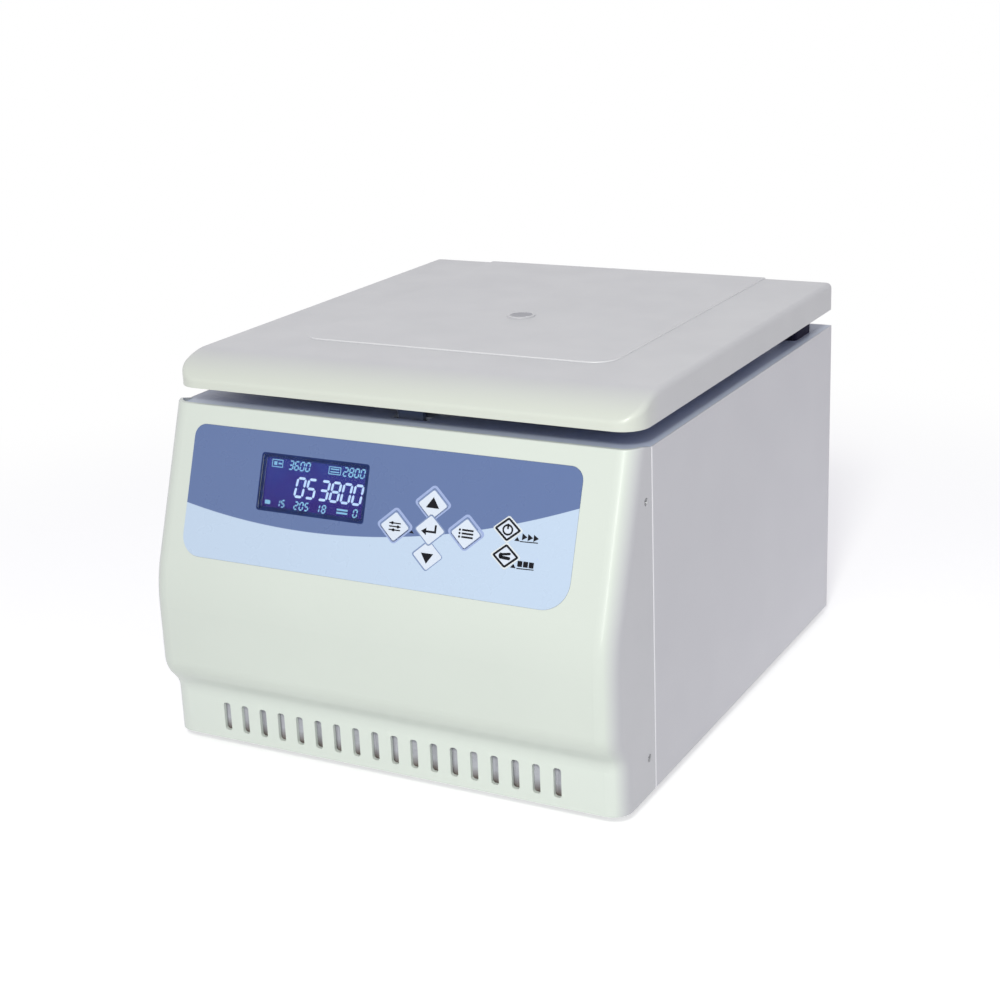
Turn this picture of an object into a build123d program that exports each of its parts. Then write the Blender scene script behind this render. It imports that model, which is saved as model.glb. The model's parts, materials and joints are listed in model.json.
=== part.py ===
from build123d import *
from math import cos, hypot, radians, sin
import os

# Microplate centrifuge. Millimetres, +Z up, front towards -Y.
# The origin lies on the bench under the middle of the body.

# ---------------------------------------------------------------- driving sizes

# Fits shared by many pieces
slip_fit = 0.3
close_fit = 0.15
running_fit = 0.05

# Body: its width, depth and height follow from what it holds
ground_gap = 8.0
rear_trim = 2.0
sheet = 1.2
shell_corner = 3.0
guard_side_gap = 30.8
guard_lock_gap = 5.5
guard_rear_gap = 16.3

# Front fascia: side profile from the skirt up to the top edge
skirt_height = 46.0
bulge_step = 17.0
undercut_height = 20.0
bulge_height = 80.0
slope_run = 52.0
fascia_flank = 27.5
fascia_wall = 3.5
fascia_lip = 3.5
lip_end_run = 14.0
fascia_corner = 17.0
undercut_inner_bend = 20.0
undercut_outer_bend = 25.0
crease_bend = 120.0
seam_gap = 0.5
seam_chamfer = 0.8

# Vent slots in the skirt
slot_count = 18
slot_pitch = 19.0
slot_width = 7.0
slot_height = 26.0
slot_corner = 2.5
slot_sill = 8.5

# Flank screws of the fascia
flank_screw_inset = 11.5
flank_screw_rise = 32.0
flank_screw_drop = 41.0
flank_head_radius = 3.0
flank_head_height = 1.2
flank_recess = 1.7
flank_shank_radius = 1.5
flank_screw_length = 9.0
tab_reach = 4.0
tab_margin = 10.0
top_edge_round = 1.5

# Keypad overlay, measured across and down the sloping face
overlay_left_margin = 30.0
overlay_right_margin = 42.0
overlay_top = 12.5
overlay_bottom = 126.0
overlay_top_corner = 11.0
overlay_low_left_corner = 18.0
overlay_low_right_corner = 24.0
overlay_thickness = 1.0
overlay_proud = 0.2
window_left = -118.0
window_right = -13.5
window_top = 31.0
window_bottom = 78.5
window_thickness = 2.0
window_lip = 2.5
window_corner = 2.0

# Keys: centre across, centre down the slope
key_places = {
    "key_up": (50.0, 56.0),
    "key_set": (17.4, 77.5),
    "key_enter": (50.0, 76.5),
    "key_prog": (82.6, 75.5),
    "key_down": (50.5, 97.0),
}
start_stop_places = {
    "key_start": (119.2, 67.5),
    "key_stop": (119.8, 88.5),
}
key_half_width = 13.4
key_half_height = 11.9
start_half_width = 12.0
start_half_height = 9.8
key_gap = 1.2
key_corner = 1.6
key_proud = 0.5
key_cap_depth = 1.2
key_pocket_depth = 2.0
key_travel = 0.5
key_clearance = 0.2
key_stem_radius = 2.5
stem_clearance = 0.1

# Display and control board behind the slope
lcd_margin = 4.0
lcd_depth = 9.0
board_left_margin = 40.0
board_right_margin = 28.0
board_top = 32.0
board_bottom = 112.0
board_thickness = 1.6
board_boss_radius = 4.0
board_boss_inset = 7.0
board_boss_drop = 14.0
switch_size = 6.0
switch_height = 4.6
switch_gap = 0.15

# Base
base_thickness = 2.0
base_rear_upstand = 20.0
foot_radius = 18.0
foot_side_margin = 50.0
foot_front_margin = 62.5
foot_rear_margin = 47.5
foot_recess_radius = 6.0
foot_recess_depth = 4.0
foot_screw_radius = 2.5
foot_screw_head_radius = 5.0
foot_screw_head_height = 2.5
shell_foot_flange = 12.0

# Deck
deck_thickness = 3.0
deck_rim_depth = 13.0
deck_rim_wall = 2.0

# Chamber, centred on the rotor axis
chamber_radius = 175.0
chamber_wall = 1.0
chamber_corner = 22.0
chamber_hole_radius = 40.0
chamber_flange = 10.0
seal_width = 8.0
seal_round = 2.0
guard_gap = 4.0
guard_wall = 8.0
guard_deck_gap = 6.0
guard_leg_size = 16.0
guard_foot_size = 26.0
guard_foot_height = 3.0

# Motor and its mounting
motor_plate_size = 190.0
motor_plate_thickness = 6.0
motor_plate_corner = 12.0
isolator_spread = 75.0
isolator_radius = 14.0
isolator_waist = 10.0
isolator_height = 26.8
motor_radius = 60.0
motor_height = 106.0
motor_wall = 8.0
motor_end_wall = 14.0
motor_chamber_gap = 16.0
bearing_radius = 17.5
bearing_height = 11.0
bearing_lip = 2.0
shaft_radius = 8.0
shaft_opening = 12.0
stator_bore = 34.0
stator_height = 48.0
armature_radius = 33.0
armature_height = 44.0
boot_radius = 28.0
boot_wall = 2.0
boot_flange = 6.0
boot_flange_thickness = 1.5

# Rotor
bucket_swing_room = 80.0
trunnion_deck_drop = 53.0
trunnion_radius = 4.0
trunnion_end_gap = 1.0
hub_radius = 28.0
hub_below = 41.0
hub_above = 16.0
bucket_hub_gap = 5.55
crossbar_half_width = 25.0
beam_gap = 11.4
beam_thickness = 12.0
beam_end_margin = 12.0
beam_depth = 24.0
beam_corner = 5.0
trunnion_grip = 9.0
nut_radius = 17.0
nut_height = 16.0
nut_thread_depth = 10.0

# Buckets
plate_length = 127.8
plate_width = 85.5
plate_clearance = 1.2
bucket_wall = 2.5
bucket_floor_wall = 3.0
bucket_depth = 46.0
bucket_rim_drop = 8.0
bucket_corner = 4.0
ear_thickness = 8.0
ear_half_width = 12.0
ear_below = 20.0
ear_above = 8.0
pad_thickness = 1.5
pad_margin = 1.0

# Lid
lid_gap = 16.0
lid_height = 26.0
lid_reveal = 5.5
lid_side_inset = 0.5
lid_wall = 3.0
lid_lip = 7.5
lid_nose = 46.0
lid_edge = 5.0
lid_front_corner = 22.0
lid_rear_corner = 6.0
panel_side_inset = 68.0
panel_setback = 96.5
panel_rise = 1.2
panel_corner = 22.0
panel_edge = 1.4
lid_plate_thickness = 2.0
stiffener_hinge_overlap = 10.0
stiffener_setback = 75.0
stiffener_rear_gap = 24.5
stiffener_bar = 22.0
stiffener_height = 12.0
lid_boss_radius = 5.0
lid_screw_side_inset = 23.0
lid_screw_setback = 45.0
lid_screw_rear_inset = 37.5
lid_screw_radius = 1.75
lid_screw_head_radius = 3.5
lid_screw_head_height = 1.8
lid_screw_length = 12.0

# Sight glass over the rotor axis
sight_radius = 10.0
bezel_radius = 13.0
bezel_neck = 11.5
bezel_height = 1.0
sight_drop = 0.3

# Lid hinge
hinge_side_inset = 100.0
hinge_inset = 8.0
hinge_drop = 6.0
hinge_half_length = 20.0
knuckle_radius = 5.5
knuckle_body = 6.0
knuckle_leaf = 5.5
knuckle_gap = 0.3
hinge_pin_radius = 3.0
hinge_pin_head = 4.2
hinge_pin_head_height = 1.2
hinge_bracket_thickness = 2.0
hinge_leaf_thickness = 3.0
hinge_plate_front = 30.0
hinge_spring_radius = 5.0
hinge_spring_wire = 1.4

# Lid lock
striker_half_width = 12.0
striker_thickness = 4.0
striker_setback = 33.0
striker_drop = 41.0
striker_base_half_width = 18.0
striker_base_half_depth = 9.0
striker_base_thickness = 3.0
striker_front_play = 4.5
striker_rear_play = 3.0
striker_side_play = 5.0
bolt_radius = 4.0
bolt_length = 21.0
bolt_travel = 15.0
bolt_engagement = 1.5
bolt_drop = 29.0
bolt_window = 10.0
lock_wall = 3.5
lock_half_width = 24.0
lock_bottom_margin = 6.0
solenoid_half_width = 16.0
solenoid_height = 28.0
solenoid_length = 20.0
lock_gap = 1.0

# Rear fittings
fan_depth = 25.0
fan_side_inset = 110.0
fan_lift = 4.0
fan_tip_gap = 3.0
fan_rim = 3.0
fan_hub_radius = 19.0
fan_hub_depth = 4.0
fan_strut = 6.0
fan_corner = 6.0
fan_screw_inset = 7.5
fan_screw_radius = 2.0
fan_spindle_radius = 3.0
fan_hub_cap = 3.0
fan_blade_count = 7
fan_blade_radius = 54.0
fan_blade_width = 20.0
fan_blade_thickness = 2.0
fan_blade_pitch = 35.0
impeller_depth = 16.0
grille_slot_count = 11
grille_rim = 4.0
grille_end_inset = 5.0
grille_slot_width = 5.5
inlet_side_inset = 80.0
inlet_z = 62.0
inlet_flange_width = 50.0
inlet_flange_height = 24.0
inlet_body_width = 28.0
inlet_body_height = 20.5
inlet_body_depth = 22.0
inlet_socket_width = 25.0
inlet_socket_height = 17.0
inlet_socket_depth = 16.0
inlet_corner = 3.0
inlet_screw_pitch = 40.0
inlet_pin_pitch = 7.0
inlet_pin_rise = 3.5
inlet_pin_width = 2.0
inlet_pin_height = 4.0
inlet_pin_length = 11.0
switch_z = 104.0
switch_flange_width = 32.0
switch_flange_height = 23.0
switch_body_width = 28.0
switch_body_height = 19.5
switch_body_depth = 18.0
switch_window_width = 24.6
switch_window_height = 16.0
switch_cavity_depth = 14.0
rocker_half_length = 11.2
rocker_tip_rise = 5.2
rocker_middle_rise = 3.6
rocker_base_half = 8.0
rocker_base_drop = 2.5
rocker_pivot_depth = 7.1
rocker_pivot_radius = 1.5
rocker_pivot_grip = 1.3
rocker_tilt = 8.0
fuse_side_inset = 30.0
fuse_z = 62.0
fuse_flange_radius = 8.5
fuse_body_radius = 6.5
fuse_body_depth = 30.0
fuse_cap_radius = 6.0
fuse_flange_thickness = 1.2
fuse_slot_width = 1.6
fuse_slot_depth = 0.6
rear_screw_side_inset = 25.0
rear_screw_inner_x = 65.0
rear_screw_low = 22.0
rear_screw_deck_drop = 9.0
rear_screw_head_radius = 3.5
rear_screw_head_height = 1.8
rear_screw_radius = 1.7
rear_screw_length = 9.0

# Drive electronics on the base plate
drive_width = 88.0
drive_depth = 170.0
drive_height = 70.0
drive_side_inset = 56.0
drive_rotor_offset = 5.0
fin_count = 8
fin_height = 10.0
fin_thickness = 2.0

# Wiring inside the cabinet
cable_radius = 3.0
cable_bend = 10.0
cable_height = 20.0
cable_rear_gap = 12.0
motor_lead_height = 70.0
signal_board_inset = 10.0
signal_down = 100.0
signal_reach = 18.0
signal_side_inset = 42.0
signal_middle_height = 110.0
signal_low_height = 45.0
signal_drive_gap = 60.0
jumper_inset = 8.0
jumper_radius = 2.0

# ---------------------------------------------------------------- derived places

# Stack of the drive and the chamber, from the base up to the deck
base_bottom = ground_gap + sheet
base_top = base_bottom + base_thickness
motor_plate_bottom = base_top + isolator_height
motor_bottom = motor_plate_bottom + motor_plate_thickness
motor_top = motor_bottom + motor_height
chamber_floor = motor_top + motor_chamber_gap
trunnion_height = chamber_floor + bucket_swing_room
deck_height = trunnion_height + trunnion_deck_drop
deck_bottom = deck_height - deck_thickness
flange_top = deck_height + chamber_wall
flange_radius = chamber_radius + chamber_wall + chamber_flange

# Row from the front to the rear: slope, lock, chamber in its guard, fan
guard_radius = chamber_radius + chamber_wall + guard_gap + guard_wall
lock_reach = striker_thickness / 2 + striker_rear_play + lock_wall
lock_zone = slope_run + lid_reveal + striker_setback + lock_reach + guard_lock_gap
rear_zone = guard_rear_gap + fan_depth + sheet + rear_trim
body_depth = lock_zone + 2 * guard_radius + rear_zone
front_y = -body_depth / 2
lid_rear_y = body_depth / 2
rotor_y = front_y + lock_zone + guard_radius
back_y = lid_rear_y - rear_trim
wall_inner_y = back_y - sheet
side_inner_x = guard_radius + guard_side_gap
half_width = side_inner_x + sheet

# Fascia and keypad
skirt_y = front_y + bulge_step
slope_top_y = front_y + slope_run
seam_y = slope_top_y + fascia_flank
skirt_top = ground_gap + skirt_height
bulge_bottom = skirt_top + undercut_height
bulge_top = bulge_bottom + bulge_height
slope_rise = deck_height - bulge_top
fascia_top = deck_height + fascia_lip
slope_length = hypot(slope_run, slope_rise)
slope_cos = slope_rise / slope_length
slope_sin = slope_run / slope_length
slope_wall = fascia_wall * slope_cos
flank_screw_low = ground_gap + flank_screw_rise
flank_screw_high = deck_height - flank_screw_drop
overlay_left = overlay_left_margin - half_width
overlay_right = half_width - overlay_right_margin
key_centres = {**key_places, **start_stop_places}
board_left = overlay_left + board_left_margin
board_right = overlay_right - board_right_margin
lcd_back = slope_wall + lcd_depth
board_back = lcd_back + board_thickness

# Feet
foot_x = half_width - foot_side_margin
foot_front_y = front_y + foot_front_margin
foot_rear_y = lid_rear_y - foot_rear_margin

# Motor, rotor and buckets
lower_bearing = motor_bottom + bearing_lip
upper_bearing = motor_top - bearing_lip - bearing_height
motor_mid = (motor_bottom + motor_top) / 2
hub_bottom = trunnion_height - hub_below
hub_top = trunnion_height + hub_above
shaft_bottom = lower_bearing + 1
shaft_top = hub_top + nut_thread_depth
bucket_inner_x = (plate_width + 2 * plate_clearance) / 2
bucket_inner_y = (plate_length + 2 * plate_clearance) / 2
bucket_outer_x = bucket_inner_x + bucket_wall
bucket_outer_y = bucket_inner_y + bucket_wall
bucket_rim = trunnion_height - bucket_rim_drop
bucket_floor = bucket_rim - bucket_depth
bucket_bottom = bucket_floor - bucket_floor_wall
trunnion_x = hub_radius + bucket_hub_gap + bucket_outer_x
trunnion_tip_y = bucket_outer_y + trunnion_end_gap
beam_inner_y = bucket_outer_y + beam_gap

# Lid, hinge and lock
lid_half_width = half_width - lid_side_inset
lid_front_y = slope_top_y + lid_reveal
lid_bottom = deck_height + lid_gap
lid_top = lid_bottom + lid_height
lid_nose_drop = lid_height - lid_lip
lid_arch_radius = (lid_nose**2 + lid_nose_drop**2) / (2 * lid_nose_drop)
lid_arch_y = lid_front_y + lid_nose
panel_top = lid_top + panel_rise
panel_half_width = lid_half_width - panel_side_inset
panel_front_y = lid_front_y + panel_setback
lid_plate_top = lid_bottom + lid_plate_thickness
lid_screw_x = lid_half_width - lid_screw_side_inset
lid_screw_front_y = lid_front_y + lid_screw_setback
lid_screw_rear_y = lid_rear_y - lid_screw_rear_inset
hinge_x = half_width - hinge_side_inset
hinge_y = lid_rear_y - hinge_inset
hinge_z = lid_bottom - hinge_drop
stiffener_half_width = hinge_x - stiffener_hinge_overlap
stiffener_front_y = lid_front_y + stiffener_setback
stiffener_rear_y = hinge_y - stiffener_rear_gap
striker_y = lid_front_y + striker_setback
bolt_height = deck_height - bolt_drop
lock_front_inner = striker_y - striker_thickness / 2 - striker_front_play
lock_rear_inner = striker_y + striker_thickness / 2 + striker_rear_play
lock_front = lock_front_inner - lock_wall
lock_rear = lock_rear_inner + lock_wall
solenoid_rear = lock_front - lock_gap
solenoid_front = solenoid_rear - solenoid_length

# Rear fittings, drive electronics and wiring
fan_bore = fan_blade_radius + fan_tip_gap
fan_size = 2 * (fan_bore + fan_rim)
fan_screw_pitch = fan_size - 2 * fan_screw_inset
grille_reach = fan_bore - grille_rim
grille_slot_pitch = 2 * (grille_reach - grille_end_inset) / (grille_slot_count - 1)
fan_x = fan_side_inset - half_width
fan_z = base_top + base_rear_upstand + fan_lift + fan_size / 2
inlet_x = half_width - inlet_side_inset
switch_x = inlet_x
fuse_x = half_width - fuse_side_inset
rear_screw_outer_x = half_width - rear_screw_side_inset
drive_x = drive_side_inset - half_width
drive_y = rotor_y - drive_rotor_offset
signal_x = board_left + signal_board_inset
signal_side_x = signal_side_inset - half_width
signal_low_y = drive_y - drive_depth / 2 - signal_drive_gap

# Sloping plane of the keypad: x across, y up the slope, z outwards
slope_plane = Plane(
    origin=(0, slope_top_y, deck_height),
    x_dir=(1, 0, 0),
    z_dir=(0, -slope_cos, slope_sin),
)


# ---------------------------------------------------------------- shared shapes


def slab(x_span, y_span, z_span):
    # Box between three pairs of planes
    spans = (x_span, y_span, z_span)
    sizes = [high - low for low, high in spans]
    middles = [(high + low) / 2 for low, high in spans]
    return Pos(*middles) * Box(*sizes)


def post(radius, z_span, x=0.0, y=0.0):
    # Upright round bar
    low, high = z_span
    return Pos(x, y, (low + high) / 2) * Cylinder(radius, high - low)


def tube(outer, inner, z_span, x=0.0, y=0.0):
    # Upright round tube
    return post(outer, z_span, x, y) - post(inner, z_span, x, y)


def bar_x(radius, x_span, y, z):
    # Round bar along X
    low, high = x_span
    return Pos((low + high) / 2, y, z) * Rot(0, 90, 0) * Cylinder(radius, high - low)


def bar_y(radius, y_span, x, z):
    # Round bar along Y
    low, high = y_span
    return Pos(x, (low + high) / 2, z) * Rot(90, 0, 0) * Cylinder(radius, high - low)


def both_sides(shape):
    # A piece and its mirror image across the middle plane
    return shape + mirror(shape, about=Plane.YZ)


def rounded_block(x_span, y_span, z_span, radius):
    # Box with rounded upright edges
    block = slab(x_span, y_span, z_span)
    return fillet(block.edges().filter_by(Axis.Z), radius)


def on_slope(across, down, depth_span, sketch):
    # Sketch placed on the sloping face and extruded between two depths below it
    shallow, deep = depth_span
    solid = extrude(sketch, deep - shallow)
    return slope_plane * Pos(across, -down, -deep) * solid


def diamond(half_width_x, half_height_y, grow=0.0):
    # Rounded rhombus, grown evenly on all sides by the given clearance
    side = hypot(half_width_x, half_height_y)
    wide = half_width_x + grow * side / half_height_y
    high = half_height_y + grow * side / half_width_x
    outline = Polygon((wide, 0), (0, high), (-wide, 0), (0, -high), align=None)
    return fillet(outline.vertices(), key_corner + grow)


def key_outline(name, grow=0.0):
    # One key's diamond. Enter reaches over the tips of the keys above and below it
    if name in start_stop_places:
        return diamond(start_half_width, start_half_height, grow)
    outline = diamond(key_half_width, key_half_height, grow)
    if name in ("key_up", "key_down"):
        x, down = key_places[name]
        enter_x, enter_down = key_places["key_enter"]
        enter = diamond(key_half_width, key_half_height, key_gap - grow)
        outline -= Pos(enter_x - x, down - enter_down) * enter
    return outline


# ---------------------------------------------------------------- front fascia


def fascia_profile(inset, low, high):
    # Side profile of the fascia's front, moved inwards by the inset
    lean = slope_run / slope_rise
    points = [
        (skirt_y + inset, low),
        (skirt_y + inset, skirt_top),
        (front_y + inset, bulge_bottom),
        (front_y + inset, bulge_top),
        (front_y + inset + (high - bulge_top) * lean, high),
    ]
    bends = [undercut_inner_bend, undercut_outer_bend, crease_bend]
    return Plane.YZ * FilletPolyline(*points, radius=bends)


def fascia_body(inset, low, high):
    # Plan outline of the fascia carried along its side profile without turning
    depth = 2 * (seam_y - front_y)
    half = half_width - inset
    start_y = skirt_y + inset
    outline = Rectangle(2 * half, depth, align=(Align.CENTER, Align.MIN))
    front_corners = outline.vertices().group_by(Axis.Y)[0]
    outline = fillet(front_corners, fascia_corner - inset)
    section = Pos(0, start_y, low) * outline
    return sweep(section, path=fascia_profile(inset, low, high), normal=(0, 0, 1))


def vent_slots():
    slot = RectangleRounded(slot_width, slot_height, slot_corner)
    cutter = extrude(slot, 3 * fascia_wall)
    middle_z = ground_gap + slot_sill + slot_height / 2
    slots = []
    for index in range(slot_count):
        x = (index - (slot_count - 1) / 2) * slot_pitch
        slots.append(Pos(x, skirt_y + 2 * fascia_wall, middle_z) * Rot(90, 0, 0) * cutter)
    return slots


def overlay_outline(grow=0.0):
    width = overlay_right - overlay_left + 2 * grow
    height = overlay_bottom - overlay_top + 2 * grow
    outline = Rectangle(width, height)
    outline = fillet(outline.vertices().group_by(Axis.Y)[-1], overlay_top_corner + grow)
    low_left = outline.vertices().group_by(Axis.Y)[0].sort_by(Axis.X)[0]
    outline = fillet(low_left, overlay_low_left_corner + grow)
    low_right = outline.vertices().group_by(Axis.Y)[0].sort_by(Axis.X)[-1]
    return fillet(low_right, overlay_low_right_corner + grow)


overlay_x = (overlay_left + overlay_right) / 2
overlay_v = (overlay_top + overlay_bottom) / 2
window_x = (window_left + window_right) / 2
window_v = (window_top + window_bottom) / 2


def window_outline(grow=0.0):
    width = window_right - window_left + 2 * grow
    height = window_bottom - window_top + 2 * grow
    return RectangleRounded(width, height, max(window_corner + grow, 0.5))


def board_boss_places():
    # Corners of the control board, a little inside its edges
    xs = (board_left + board_boss_inset, board_right - board_boss_inset)
    downs = (board_top - board_boss_inset + board_boss_drop, board_bottom - board_boss_inset)
    return [(x, down) for x in xs for down in downs]


def flank_screw_places():
    return [(seam_y - flank_screw_inset, z) for z in (flank_screw_low, flank_screw_high)]


def lip_end_slopes():
    # Wedges above the flanks, where the lip runs down to the deck
    start_y = seam_y - lip_end_run
    outline = Polygon(
        (start_y, fascia_top),
        (seam_y + 1, deck_height),
        (seam_y + 1, fascia_top + 1),
        (start_y, fascia_top + 1),
        align=None,
    )
    return extrude(Plane.YZ * outline, half_width + 1, both=True)


def front_fascia():
    body = fascia_body(0, ground_gap, fascia_top)
    ahead = slab((-half_width, half_width), (front_y, seam_y), (ground_gap, fascia_top))
    body = body & ahead
    rim = body.faces().sort_by(Axis.Z)[-1].edges()
    front_rim = [edge for edge in rim if edge.center().Y < seam_y - seam_gap]
    body = fillet(front_rim, top_edge_round)
    seam_edges = body.faces().sort_by(Axis.Y)[-1].edges().filter_by(Axis.Z)
    body = chamfer(seam_edges, seam_chamfer) - lip_end_slopes()
    shell = body - fascia_body(fascia_wall, ground_gap - 1, fascia_top + 1)
    for place in board_boss_places():
        x, down = place
        shell += on_slope(x, down, (slope_wall / 2, lcd_back), Circle(board_boss_radius))
    shell -= vent_slots()
    recess = overlay_thickness - overlay_proud
    shell -= on_slope(overlay_x, overlay_v, (-5, recess), overlay_outline(close_fit))
    shell -= on_slope(window_x, window_v, (-5, window_thickness), window_outline(close_fit))
    shell -= on_slope(window_x, window_v, (-5, 2 * fascia_wall), window_outline(-window_lip))
    for name, place in key_centres.items():
        x, down = place
        pocket = key_outline(name, key_clearance)
        stem_hole = Circle(key_stem_radius + stem_clearance)
        shell -= on_slope(x, down, (-5, key_pocket_depth), pocket)
        shell -= on_slope(x, down, (-5, 2 * fascia_wall), stem_hole)
    recess_x = half_width - flank_recess
    for y, z in flank_screw_places():
        head = bar_x(flank_head_radius + slip_fit, (recess_x, half_width + 1), y, z)
        hole = bar_x(flank_shank_radius + slip_fit, (recess_x - 6, recess_x + 1), y, z)
        shell -= both_sides(head + hole)
    return shell


def fascia_screws():
    head_base = half_width - flank_recess
    screws = []
    for y, z in flank_screw_places():
        head_span = (head_base, head_base + flank_head_height)
        head = bar_x(flank_head_radius, head_span, y, z)
        head = fillet(head.edges().sort_by(Axis.X)[-1], flank_head_height / 2)
        shank = bar_x(flank_shank_radius, (head_base - flank_screw_length, head_base), y, z)
        screws.append(both_sides(head + shank))
    return screws[0] + screws[1]


# ---------------------------------------------------------------- keypad


def membrane_overlay():
    top = -overlay_proud
    bottom = overlay_thickness - overlay_proud
    film = on_slope(overlay_x, overlay_v, (top, bottom), overlay_outline())
    film -= on_slope(window_x, window_v, (-5, 5), window_outline(close_fit))
    for name, place in key_centres.items():
        x, down = place
        film -= on_slope(x, down, (-5, 5), key_outline(name, key_clearance))
    return film


def display_window():
    return on_slope(window_x, window_v, (0, window_thickness), window_outline())


def lcd_module():
    return on_slope(window_x, window_v, (slope_wall, lcd_back), window_outline(lcd_margin))


def control_board():
    width = board_right - board_left
    height = board_bottom - board_top
    middle = (board_left + board_right) / 2, (board_top + board_bottom) / 2
    board = on_slope(*middle, (lcd_back, board_back), Rectangle(width, height))
    for place in key_centres.values():
        case = Rectangle(switch_size, switch_size)
        board += on_slope(*place, (lcd_back - switch_height, lcd_back), case)
    return board


def key(name, place):
    x, down = place
    outline = key_outline(name)
    stem_end = lcd_back - switch_height - key_travel - switch_gap
    cap = on_slope(x, down, (-key_proud, key_cap_depth), outline)
    stem = on_slope(x, down, (key_cap_depth, stem_end), Circle(key_stem_radius))
    return cap + stem


# ---------------------------------------------------------------- cabinet


def fan_grille():
    # Upright slots that together make a round grille in front of the fan
    slots = []
    for index in range(grille_slot_count):
        offset = (index - (grille_slot_count - 1) / 2) * grille_slot_pitch
        half = (grille_reach**2 - offset**2) ** 0.5
        shape = SlotOverall(2 * half, grille_slot_width, rotation=90)
        cutter = extrude(shape, 4 * sheet)
        slots.append(Pos(fan_x + offset, back_y + sheet, fan_z) * Rot(90, 0, 0) * cutter)
    return slots


def fan_screw_places():
    half = fan_screw_pitch / 2
    return [(fan_x + a * half, fan_z + b * half) for a in (-1, 1) for b in (-1, 1)]


def wall_screw_places():
    rows = (rear_screw_low, deck_height - rear_screw_deck_drop)
    columns = (rear_screw_inner_x, rear_screw_outer_x)
    return [(side * x, z) for side in (-1, 1) for x in columns for z in rows]


def inlet_screw_places():
    half = inlet_screw_pitch / 2
    return [(inlet_x - half, inlet_z), (inlet_x + half, inlet_z)]


def rear_opening(x, z, width, height):
    # Square hole through the back wall
    half_x, half_z = width / 2 + close_fit, height / 2 + close_fit
    y_span = (wall_inner_y - 1, back_y + 1)
    return slab((x - half_x, x + half_x), y_span, (z - half_z, z + half_z))


def cabinet_shell():
    z_span = (ground_gap, deck_height)
    outer = slab((-half_width, half_width), (seam_y + seam_gap, back_y), z_span)
    rear_edges = outer.edges().filter_by(Axis.Z).group_by(Axis.Y)[-1]
    outer = fillet(rear_edges, shell_corner)
    front_edges = outer.edges().filter_by(Axis.Z).group_by(Axis.Y)[0]
    outer = chamfer(front_edges, seam_chamfer)
    inner = slab((-side_inner_x, side_inner_x), (seam_y, wall_inner_y), (0, deck_height + 1))
    rear_edges = inner.edges().filter_by(Axis.Z).group_by(Axis.Y)[-1]
    inner = fillet(rear_edges, shell_corner - sheet)
    shell = outer - inner
    # Joggled tabs that the fascia's flank screws reach
    tab_outer = half_width - fascia_wall
    tab_inner = tab_outer - sheet
    tab_z = (flank_screw_low - tab_margin, flank_screw_high + tab_margin)
    tab_front = seam_y - flank_screw_inset - tab_reach
    bend_y = (seam_y + seam_gap, seam_y + seam_gap + sheet)
    tab = slab((tab_inner, tab_outer), (tab_front, bend_y[1]), tab_z)
    tab += slab((tab_inner, side_inner_x), bend_y, tab_z)
    # Bottom flanges that carry the base plate
    flange_x = (side_inner_x - shell_foot_flange, side_inner_x)
    flange_y = (seam_y + seam_gap, wall_inner_y - shell_corner)
    flange = slab(flange_x, flange_y, (ground_gap, base_bottom))
    shell += both_sides(tab + flange)
    for y, z in flank_screw_places():
        hole = bar_x(flank_shank_radius + running_fit, (tab_inner - 1, tab_outer + 1), y, z)
        shell -= both_sides(hole)
    shell -= fan_grille()
    shell -= rear_opening(inlet_x, inlet_z, inlet_body_width, inlet_body_height)
    shell -= rear_opening(switch_x, switch_z, switch_body_width, switch_body_height)
    wall_y = (wall_inner_y - 1, back_y + 1)
    shell -= bar_y(fuse_body_radius + close_fit, wall_y, fuse_x, fuse_z)
    for x, z in wall_screw_places() + inlet_screw_places():
        shell -= bar_y(rear_screw_radius + running_fit, wall_y, x, z)
    for x, z in fan_screw_places():
        shell -= bar_y(fan_screw_radius + running_fit, wall_y, x, z)
    return shell


def base_plate():
    half = half_width - fascia_wall - close_fit
    front = skirt_y + fascia_wall + close_fit
    rear = wall_inner_y - close_fit
    plate = slab((-half, half), (front, rear), (base_bottom, base_top))
    front_edges = plate.edges().filter_by(Axis.Z).group_by(Axis.Y)[0]
    plate = fillet(front_edges, fascia_corner - fascia_wall)
    upstand_z = (base_bottom, base_top + base_rear_upstand)
    plate += slab((-half, half), (rear - base_thickness, rear), upstand_z)
    for x, z in wall_screw_places()[::2]:
        plate -= bar_y(rear_screw_radius + running_fit, (rear - base_thickness - 1, rear + 1), x, z)
    for x, y in foot_places():
        plate -= post(foot_screw_radius + running_fit, (base_bottom - 1, base_top + 1), x, y)
    return plate


def foot_places():
    return [(x, y) for x in (-foot_x, foot_x) for y in (foot_front_y, foot_rear_y)]


def rubber_feet():
    foot = post(foot_radius, (0, base_bottom))
    foot = chamfer(foot.edges().sort_by(Axis.Z)[0], 1.0)
    foot -= post(foot_recess_radius, (-1, foot_recess_depth))
    foot -= post(foot_screw_radius + running_fit, (0, base_bottom + 1))
    return Compound([Pos(x, y, 0) * foot for x, y in foot_places()])


def foot_screws():
    head = (foot_recess_depth - foot_screw_head_height, foot_recess_depth)
    shape = post(foot_screw_head_radius, head)
    shape += post(foot_screw_radius, (foot_recess_depth, base_top + 4))
    shape -= Pos(0, 0, head[0]) * extrude(RegularPolygon(2, 6), 1.2)
    return Compound([Pos(x, y, 0) * shape for x, y in foot_places()])


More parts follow.
